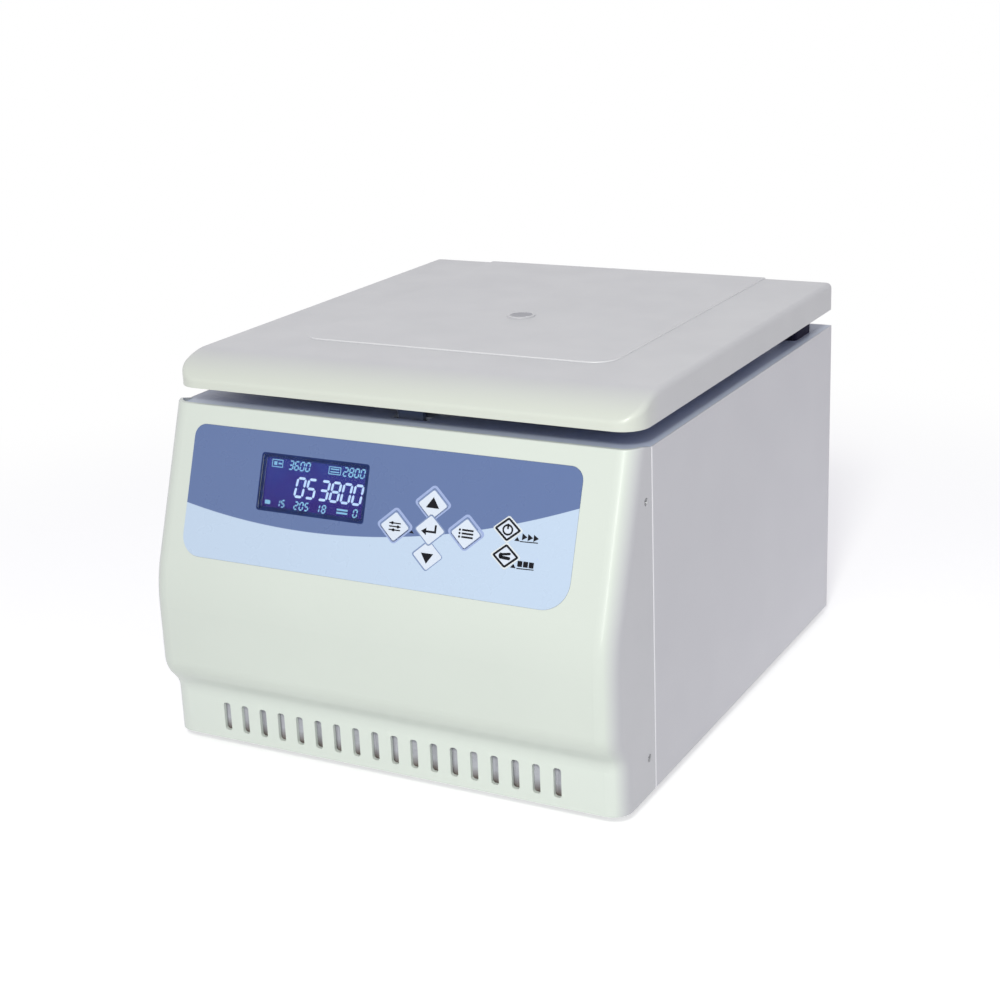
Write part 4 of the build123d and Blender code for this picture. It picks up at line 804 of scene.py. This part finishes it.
largeRow = {"size": (7.6, 15.6), "pitch": 10.9, "width": 2.15, "ink": "white"}
upperRow = {"size": (3.6, 7.0), "pitch": 5.5, "width": 1.15, "ink": "cyan"}
lowerRow = {"size": (3.2, 6.2), "pitch": 5.2, "width": 1.2, "ink": "cyan"}
digitLook = {
    "segments": {"0": "abcdef", "1": "bc", "2": "abged", "3": "abgcd", "5": "afgcd", "6": "afgedc",
                 "8": "abcdefg"},
    "lean": 0.14,
    "ends": 1.35,  # both points of a segment and its gap, in widths
    "low": -3.29, "thick": 0.06,
    "rows": [
        {**largeRow, "text": "05", "at": (-79.4, -56.3)},
        {**largeRow, "text": "3800", "at": (-55.6, -56.3)},
        {**upperRow, "text": "3600", "at": (-90.6, -38.6)},
        {**upperRow, "text": "2800", "at": (-37.0, -38.6)},
        {**lowerRow, "text": "15", "at": (-99.4, -71.6), "size": (2.9, 5.6), "pitch": 4.8, "width": 1.15},
        {**lowerRow, "text": "205", "at": (-81.4, -71.6)},
        {**lowerRow, "text": "18", "at": (-60.0, -71.6), "pitch": 6.0},
        {**lowerRow, "text": "0", "at": (-23.4, -71.6), "size": (3.4, 6.2)},
    ],
    "boxes": [
        bar(-104.5, -38.4, 11.0, 6.6, round=0.6, band=0.7),
        bar(-106.4, -38.4, 3.0, 3.0, round=0.3),
        bar(-101.9, -38.4, 3.4, 1.3, round=0.3),
        bar(-47.6, -38.8, 12.0, 6.6, round=0.6, band=0.7),
        *[bar(-47.6, y, 8.4, 0.9, round=0.3) for y in (-37.6, -39.9)],
        bar(-110.0, -71.6, 5.4, 3.4, round=0.5),
        *[bar(-36.0, y, 10.6, 1.5, round=0.3) for y in (-72.8, -70.2)],
    ],
}
glowLook = {"roughness": 0.4, "cloudScale": 400.0, "cloudShade": 0.88}


def glowingInk(name, color, glow, look=glowLook):
    material, shader = startMaterial(name, {"Roughness": look["roughness"], "Emission Strength": glow})
    clouds = noiseOf(material, placeOf(material), look["cloudScale"], "grain")
    tone = mixOf(material, spread(material, clouds, 0, 1), color, shadeOf(color, look["cloudShade"]))
    join(material, tone, shader, "Base Color")
    join(material, tone, shader, "Emission Color")
    return material


glowInks = {
    "white": glowingInk("digitWhite", (0.42, 0.55, 0.72), 0.40),
    "cyan": glowingInk("digitCyan", (0.18, 0.40, 0.52), 0.45),
}


# An upright bar with pointed ends
def modelSegment(length, width, look):
    clearSelection()
    bpy.ops.mesh.primitive_plane_add(size=mm, location=(0, 0, 0))
    piece = openEdit("segment")
    stretch(width, length - look["ends"] * width, 1)
    for side in (1, -1):
        pick(piece, "EDGE", lambda edge: all(vert.co.y * side > 0 for vert in edge.verts))
        pull(y=side * width / 2 * mm)
        bpy.ops.mesh.merge(type="COLLAPSE")
    pickAll()
    pull(z=look["thick"] * mm)
    faceOutwards()
    closeEdit()
    return piece


def segmentPlaces(width, height):
    quarter, half = height / 4, width / 2
    return {"a": (0, 2 * quarter, 90), "g": (0, 0, 90), "d": (0, -2 * quarter, 90), "b": (half, quarter, 0),
            "c": (half, -quarter, 0), "e": (-half, -quarter, 0), "f": (-half, quarter, 0)}


def addDigits(look):
    strokes = {"white": [], "cyan": []}
    lean = Matrix(((1, look["lean"], 0, 0), (0, 1, 0, 0), (0, 0, 1, 0), (0, 0, 0, 1)))
    for row in look["rows"]:
        width, height = row["size"]
        upright = modelSegment(height / 2, row["width"], look)
        lying = modelSegment(width, row["width"], look)
        for index, letter in enumerate(row["text"]):
            x, y = row["at"][0] + index * row["pitch"], row["at"][1]
            for part in look["segments"][letter]:
                dx, dy, turn = segmentPlaces(width, height)[part]
                spot = shift(dx, dy, 0) @ Matrix.Rotation(math.radians(turn), 4, "Z")
                place = shift(x, y, look["low"]) @ lean @ spot
                model = lying if turn else upright
                strokes[row["ink"]].append(copyOf(model, "stroke", onSlope @ place))
        for model in (upright, lying):
            bpy.data.objects.remove(model)
    for ink, pieces in strokes.items():
        digits = joinPieces("display_digits_" + ink, pieces)
        settle(digits, glowInks[ink], "cabinet")
    printMarks("display_symbols", look["boxes"], look["low"], look["low"] + look["thick"], glowInks["cyan"],
               "cabinet", "display_blue")
    print("display digits lit")


addDigits(digitLook)

# Dark border under the window and dark rim round it: printed masks that also stand for the painted shade of
# the window's recess
borderShadeInk = coatedSurface("borderShadeInk", {**inkLook, "color": (0.014, 0.026, 0.100)})
displayMiddle = (-65.75, -54.75)
borderLooks = {
    "display_border": {"size": (104.3, 47.3), "round": 1.9, "band": 3.0, "low": -1.97, "high": -1.9},
    "display_rim": {"size": (106.1, 49.1), "round": 2.6, "band": 1.5, "low": 0.19, "high": 0.25},
}
for name, look in borderLooks.items():
    line = {"kind": "bar", "at": displayMiddle, **look}
    printMarks(name, [line], look["low"], look["high"], borderShadeInk, "cabinet", "fitting_black")
print("display border printed")


# Power entry: on and off marks on the rocker, bright pins in the inlet

rockerLook = {
    "pivot": (140, 255.4, 104), "tilt": 8.0, "middleRise": 3.6, "faceLean": 8.13,
    "on": [bar(6.0, 0, 1.0, 6.0, round=0.2)],
    "off": [disc(-6.0, 0, 6.0, 6.0, band=0.9)],
    "low": -0.02, "high": 0.05,
}
pinLook = {"at": (140, 62), "pitch": 7.0, "middleRise": 3.5, "size": (2.1, 4.1), "span": (246.6, 257.56),
           "edge": 0.5, "smooth": 30}
brassLook = {
    "color": (0.72, 0.56, 0.28), "stretch": (1, 0.1, 1), "lineScale": 900.0, "lineShade": 0.85,
    "lineDepth": 0.00001, "patchScale": 200.0, "roughness": (0.22, 0.32),
}


def addRockerMarks(look):
    tilt = Matrix.Rotation(math.radians(look["tilt"]), 4, "Z")
    middle = shift(*look["pivot"]) @ tilt @ shift(0, look["middleRise"], 0)
    outwards = Matrix.Rotation(math.radians(-90), 4, "X")
    for key, side in (("on", 1), ("off", -1)):
        lean = Matrix.Rotation(math.radians(side * look["faceLean"]), 4, "Z")
        printMarks("rocker_" + key, look[key], look["low"], look["high"], whiteInk, "rocker", "overlay_film",
                   plane=middle @ lean @ outwards)


def addPins(look):
    clearSelection()
    bpy.ops.mesh.primitive_cube_add(size=mm, location=(0, 0, 0))
    model = openEdit("pin")
    width, height = look["size"]
    start, end = look["span"]
    stretch(width, end - start, height)
    pick(model, "EDGE", lambda edge: all(vert.co.y > 0 for vert in edge.verts))
    bpy.ops.mesh.bevel(offset=look["edge"] * mm, segments=3, affect="EDGES")
    closeEdit()
    x, z = look["at"]
    pins = []
    for index in (-1, 0, 1):
        rise = look["middleRise"] if index == 0 else 0
        pins.append(copyOf(model, "pin", shift(x + index * look["pitch"], (start + end) / 2, z + rise)))
    bpy.data.objects.remove(model)
    settle(joinPieces("inlet_pins", pins), brushedMetal("brass", brassLook), "cabinet",
           smooth=look["smooth"])


addRockerMarks(rockerLook)
addPins(pinLook)
print("power entry marked")


# Cross-recess screws: one model, copied to each place

screwModel = {
    "radius": 3.5, "height": 1.8, "dome": 0.75, "sides": 40,
    "recess": 2.3, "recessWidth": 0.75, "recessDepth": 1.1, "recessFlare": 1.25,
    "shank": 1.7, "length": 7.0, "smooth": 32,
    "firstTurn": 0.7, "nextTurn": 1.9,  # each is stopped at its own angle when tightened
}


def modelScrew(look):
    clearSelection()
    bpy.ops.mesh.primitive_cylinder_add(vertices=look["sides"], radius=look["radius"] * mm,
                                        depth=look["height"] * mm, location=(0, 0, 0))
    piece = openEdit("screw")
    top = look["height"] * mm / 2
    pick(piece, "EDGE", lambda edge: all(vert.co.z > top * nearly for vert in edge.verts))
    bpy.ops.mesh.bevel(offset=look["dome"] * mm, segments=4, affect="EDGES")
    pick(piece, "FACE", lambda face: face.normal.z < -nearly)
    bpy.ops.mesh.inset(thickness=(look["radius"] - look["shank"]) * mm)
    pull(z=-look["length"] * mm)
    pickAll()
    bpy.ops.transform.translate(value=(0, 0, top))
    closeEdit()
    clearSelection()
    bpy.ops.mesh.primitive_plane_add(size=mm, location=(0, 0, 0))
    cutter = openEdit("recess")
    width = look["recessWidth"]
    reach = (look["recess"] - width / 2) * mm
    stretch(width, width, 1)
    for side in (1, -1):
        pick(cutter, "EDGE", lambda edge: all(vert.co.x * side > 0 for vert in edge.verts) and
             abs(sum(vert.co.y for vert in edge.verts)) < tiny)
        pull(x=side * reach)
        pick(cutter, "EDGE", lambda edge: all(vert.co.y * side > 0 for vert in edge.verts) and
             all(abs(vert.co.x) < width * mm for vert in edge.verts) and
             abs(sum(vert.co.x for vert in edge.verts)) < tiny)
        pull(y=side * reach)
    pickAll()
    pull(z=look["recessDepth"] * mm * 2)
    stretch(look["recessFlare"], look["recessFlare"], 1)  # wider at the mouth
    faceOutwards()
    bpy.ops.transform.translate(value=(0, 0, (look["height"] - look["recessDepth"]) * mm))
    closeEdit()
    applyModifier(piece, "BOOLEAN", operation="DIFFERENCE", object=cutter, solver="EXACT")
    bpy.data.objects.remove(cutter)
    return piece


def addScrews(name, model, spots, direction, size, body):
    turn = Vector((0, 0, 1)).rotation_difference(Vector(direction)).to_matrix().to_4x4()
    across, high = size
    scale = Matrix.Diagonal((across, across, high, 1))
    pieces = []
    for index, spot in enumerate(spots):
        roll = Matrix.Rotation(screwModel["firstTurn"] + screwModel["nextTurn"] * index, 4, "Z")
        place = shift(*spot) @ turn @ roll @ scale
        pieces.append(copyOf(model, name, place))
    screws = joinPieces(name, pieces)
    settle(screws, screwSteel, body, smooth=screwModel["smooth"])
    return screws


screwSizes = {"plain": (1, 1), "inlet": (1, 0.55), "flank": (0.857, 0.667)}  # width and height to the model's
screwPlaces = {
    "lid": [(x, y, 315) for x in (-196.5, 196.5) for y in (-160, 30, 225)],
    "rear": [(x, 260.5, z) for x in (-195, -65, 65, 195) for z in (22, 290)],
    "fan": [(-110 + dx, 260.5, 95.2 + dz) for dx in (-52.5, 52.5) for dz in (-52.5, 52.5)],
    "inlet": [(x, 261.5, 62) for x in (120, 160)],
    "flank": [(218.3, -194.5, z) for z in (40, 258)],
}
screw = modelScrew(screwModel)
lidScrews = addScrews("lid_cross_screws", screw, screwPlaces["lid"], (0, 0, -1), screwSizes["plain"], "lid")
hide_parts("lid_screws")
rearScrews = addScrews("rear_cross_screws", screw, screwPlaces["rear"] + screwPlaces["fan"], (0, 1, 0),
                       screwSizes["plain"], "cabinet")
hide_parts("rear_screws")
inletScrews = addScrews("inlet_cross_screws", screw, screwPlaces["inlet"], (0, 1, 0), screwSizes["inlet"],
                        "cabinet")
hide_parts("inlet_screws")
rightScrews = addScrews("flank_cross_screws_right", screw, screwPlaces["flank"], (1, 0, 0),
                        screwSizes["flank"], "cabinet")
leftPlaces = [(-x, y, z) for x, y, z in screwPlaces["flank"]]
addScrews("flank_cross_screws_left", screw, leftPlaces, (-1, 0, 0), screwSizes["flank"], "cabinet")
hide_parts("fascia_screws")
bpy.data.objects.remove(screw)
print("screws fitted")


# Lid balance springs: wound wire round the hinge pins

springLook = {"radius": 4.3, "wire": 0.62, "turns": 9, "halfLength": 7.2, "place": (120, 254.5, 309),
              "wireSides": 14, "turnSteps": 24, "smooth": 50}


def addSprings(look):
    clearSelection()
    x, y, z = look["place"]
    pitch = 2 * look["halfLength"] / look["turns"]
    bpy.ops.mesh.primitive_circle_add(vertices=look["wireSides"], radius=look["wire"] * mm,
                                      fill_type="NOTHING", location=(0, 0, look["radius"] * mm))
    wire = bpy.context.object
    bpy.ops.object.transform_apply(location=True, rotation=False, scale=False)
    applyModifier(wire, "SCREW", axis="X", angle=2 * math.pi, screw_offset=pitch * mm,
                  iterations=look["turns"], steps=look["turnSteps"], render_steps=look["turnSteps"],
                  use_merge_vertices=False)
    bpy.ops.object.mode_set(mode="EDIT")
    bpy.ops.mesh.select_mode(type="EDGE")
    bpy.ops.mesh.select_all(action="DESELECT")
    bpy.ops.mesh.select_non_manifold(extend=False)
    bpy.ops.mesh.fill_holes(sides=0)
    faceOutwards()
    closeEdit()
    springs = []
    for side in (1, -1):
        springs.append(copyOf(wire, "spring", shift(side * x - look["halfLength"], y, z)))
    bpy.data.objects.remove(wire)
    coils = joinPieces("hinge_coils", springs)
    settle(coils, screwSteel, "cabinet", smooth=look["smooth"])
    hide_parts("hinge_springs")


addSprings(springLook)
print("springs wound")


# Chamber seal: hollow bulb on a foot, swept round the mouth

sealLook = {
    "steps": 144, "weld": 0.01, "smooth": 40,
    "section": [  # radius and height
        (178.3, 300.0), (185.9, 300.0), (185.9, 302.2), (184.3, 302.8), (184.9, 304.6), (185.6, 307.6),
        (185.2, 311.0), (183.9, 313.4), (182.2, 314.6), (180.4, 314.2), (178.9, 312.6), (178.2, 309.8),
        (178.4, 306.6), (179.4, 304.2), (180.2, 302.8), (178.3, 302.2),
    ],
}


def addSeal(look):
    clearSelection()
    bpy.ops.mesh.primitive_circle_add(vertices=len(look["section"]), radius=mm, fill_type="NOTHING",
                                      location=(0, 0, 0))
    piece = openEdit("chamber_seal_bulb")
    shape = bmesh.from_edit_mesh(piece.data)
    for vert, (radius, z) in zip(shape.verts, look["section"]):
        vert.co = Vector((radius, 0, z)) * mm
    bmesh.update_edit_mesh(piece.data)
    pickAll()
    bpy.ops.mesh.spin(steps=look["steps"], angle=2 * math.pi, center=(0, 0, 0), axis=(0, 0, 1))
    pickAll()
    bpy.ops.mesh.remove_doubles(threshold=look["weld"] * mm)
    faceOutwards()
    closeEdit()
    settle(piece, blackRubber, "cabinet", Matrix.Translation((0, rotorY, 0)),
           smooth=look["smooth"])
    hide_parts("chamber_seal")


addSeal(sealLook)
print("seal swept")


# Rear buffers: soft blocks on the deck, under the rear corners of the lid

bufferLook = {
    **rubberLook,
    "color": (0.010, 0.009, 0.026),
    "roughness": (0.75, 0.88),
    "shader": {"Specular IOR Level": 0.2},
    "size": (18, 42, 13), "at": (200, 207), "base": 299, "corner": 4.0, "edge": 1.2, "smooth": 40,
}


def addBuffers(look):
    clearSelection()
    bpy.ops.mesh.primitive_cube_add(size=mm, location=(0, 0, 0))
    model = openEdit("buffer")
    stretch(*look["size"])
    pick(model, "EDGE", lambda edge: abs(edge.verts[0].co.z - edge.verts[1].co.z) > mm)
    bpy.ops.mesh.bevel(offset=look["corner"] * mm, segments=6, affect="EDGES")
    pick(model, "EDGE", lambda edge: all(vert.co.z > 0 for vert in edge.verts))
    bpy.ops.mesh.bevel(offset=look["edge"] * mm, segments=4, affect="EDGES")
    closeEdit()
    x, y = look["at"]
    z = look["base"] + look["size"][2] / 2
    blocks = [copyOf(model, "buffer", shift(side * x, y, z)) for side in (1, -1)]
    bpy.data.objects.remove(model)
    settle(joinPieces("lid_buffers", blocks), coatedSurface("bufferRubber", look), "cabinet",
           smooth=look["smooth"])


addBuffers(bufferLook)
print("buffers placed")


# Dust filter behind the front air slots

filterLook = {
    "color": (0.52, 0.52, 0.58),
    "cloudScale": 60.0, "cloudShade": 0.8,
    "zones": [{"axis": "Z", "from": 0.027, "to": 0.017, "color": (0.17, 0.14, 0.13)}],
    "patchScale": 60.0, "roughness": (0.85, 0.95),
    "grainScale": 900.0, "grainDepth": 0.0005,
    "waveScale": 260.0, "waveDepth": 0.0006,
    "size": (344, 3.0, 34), "place": (0, -240.3, 30), "ribs": 42, "pleat": 1.4, "smooth": 30,
}


def addFilter(look):
    clearSelection()
    bpy.ops.mesh.primitive_cube_add(size=mm, location=(0, 0, 0))
    piece = openEdit("air_filter")
    stretch(*look["size"])
    pick(piece, "EDGE", lambda edge: abs(edge.verts[0].co.x - edge.verts[1].co.x) > tiny)
    bpy.ops.mesh.subdivide(number_cuts=look["ribs"] * 2 - 1)
    step = look["size"][0] * mm / look["ribs"]
    pick(piece, "VERT", lambda vert: vert.co.y < 0 and round((vert.co.x / step) * 2 + look["ribs"]) % 2 == 1)
    bpy.ops.transform.translate(value=(0, look["pleat"] * mm, 0))
    faceOutwards()
    closeEdit()
    settle(piece, coatedSurface("filterFoam", look), "cabinet", shift(*look["place"]),
           smooth=look["smooth"])


addFilter(filterLook)
print("filter fitted")


# Floor, lamps and world

studio = {
    "floorColor": (0.80, 0.80, 0.80), "floorRoughness": 0.9, "floorRadius": 9,
    "floorLift": 0.46,
    "floorFade": (0.55, 1.2),  # metres from the middle, from plain floor to backdrop white
    "ambient": (0.457, 0.448, 0.490),
    "lampColor": (0.97, 1.0, 0.93),
    "keyPower": 27.0, "keySize": 0.45, "keyPlace": (0.72, -1.98, 1.73),
    "stripPower": 9.5, "stripSize": 0.3, "stripHeight": 1.4, "stripPlace": (0.845, -2.32, 1.0),
    "aim": (0, 0, 0.2),
}


# 1 where the camera looks, also by way of gloss and glass, and 0 where light falls on a surface
def cameraOrMirrorRay(tree):
    path = tree.nodes.new("ShaderNodeLightPath")
    seen = path.outputs["Is Camera Ray"]
    for output in ("Is Glossy Ray", "Is Transmission Ray"):
        most = tree.nodes.new("ShaderNodeMath")
        most.operation = "MAXIMUM"
        tree.links.new(seen, most.inputs[0])
        tree.links.new(path.outputs[output], most.inputs[1])
        seen = most.outputs[0]
    return seen


# White backdrop, and a dimmer light from all sides
def addWorld(setup):
    world = bpy.data.worlds.new("studio")
    scene.world = world
    world.use_nodes = True
    tree = world.node_tree
    plain = tree.nodes["Background"]
    plain.inputs["Color"].default_value = (*setup["ambient"], 1)
    plain.inputs["Strength"].default_value = 1.0
    white = tree.nodes.new("ShaderNodeBackground")
    white.inputs["Color"].default_value = (1, 1, 1, 1)
    white.inputs["Strength"].default_value = 1.0
    blend = tree.nodes.new("ShaderNodeMixShader")
    tree.links.new(cameraOrMirrorRay(tree), blend.inputs["Fac"])
    tree.links.new(plain.outputs[0], blend.inputs[1])
    tree.links.new(white.outputs[0], blend.inputs[2])
    tree.links.new(blend.outputs[0], tree.nodes["World Output"].inputs["Surface"])


# Pale floor that takes a shadow and fades into the backdrop
def addFloor(setup):
    clearSelection()
    bpy.ops.mesh.primitive_circle_add(vertices=64, radius=setup["floorRadius"], fill_type="NGON",
                                      location=(0, 0, 0))
    floor = bpy.context.object
    floor.name = "floor"
    material, shader = startMaterial("paleFloor", {"Base Color": (*setup["floorColor"], 1),
                                                   "Roughness": setup["floorRoughness"],
                                                   "Specular IOR Level": 0.0})
    tree = material.node_tree
    seen = cameraOrMirrorRay(tree)
    power = mathOf(material, "MULTIPLY", seen, setup["floorLift"])
    lift = addNode(material, "Emission", {"Strength": power})
    lifted = addNode(material, "AddShader", {0: shader.outputs[0], 1: lift.outputs[0]})
    away = addNode(material, "VectorMath", {0: placeOf(material)}, operation="LENGTH").outputs["Value"]
    near, far = setup["floorFade"]
    fade = addNode(material, "MapRange", {"Value": away, "From Min": near, "From Max": far},
                   interpolation_type="SMOOTHSTEP").outputs["Result"]
    backdrop = addNode(material, "Emission", {"Strength": 1.0})
    white = mathOf(material, "MULTIPLY", fade, seen)
    both = addNode(material, "MixShader", {0: white, 1: lifted.outputs[0], 2: backdrop.outputs[0]})
    tree.links.new(both.outputs[0], tree.nodes["Material Output"].inputs["Surface"])
    floor.data.materials.append(material)


def addLamp(kind, setup):
    data = bpy.data.lights.new(kind + "Lamp", "AREA")
    data.energy = setup[kind + "Power"]
    data.size = setup[kind + "Size"]
    height = setup.get(kind + "Height")
    data.shape = "RECTANGLE" if height else "DISK"
    if height:
        data.size_y = height
    data.color = setup["lampColor"]
    lamp = bpy.data.objects.new(kind + "Lamp", data)
    scene.collection.objects.link(lamp)
    lamp.location = setup[kind + "Place"]
    lamp.rotation_mode = "QUATERNION"
    lamp.rotation_quaternion = (Vector(setup["aim"]) - lamp.location).to_track_quat("-Z", "Y")


addWorld(studio)
addFloor(studio)
addLamp("key", studio)
addLamp("strip", studio)
scene.view_settings.view_transform = "Standard"
print("studio ready")


# Finish

print("scene ready")
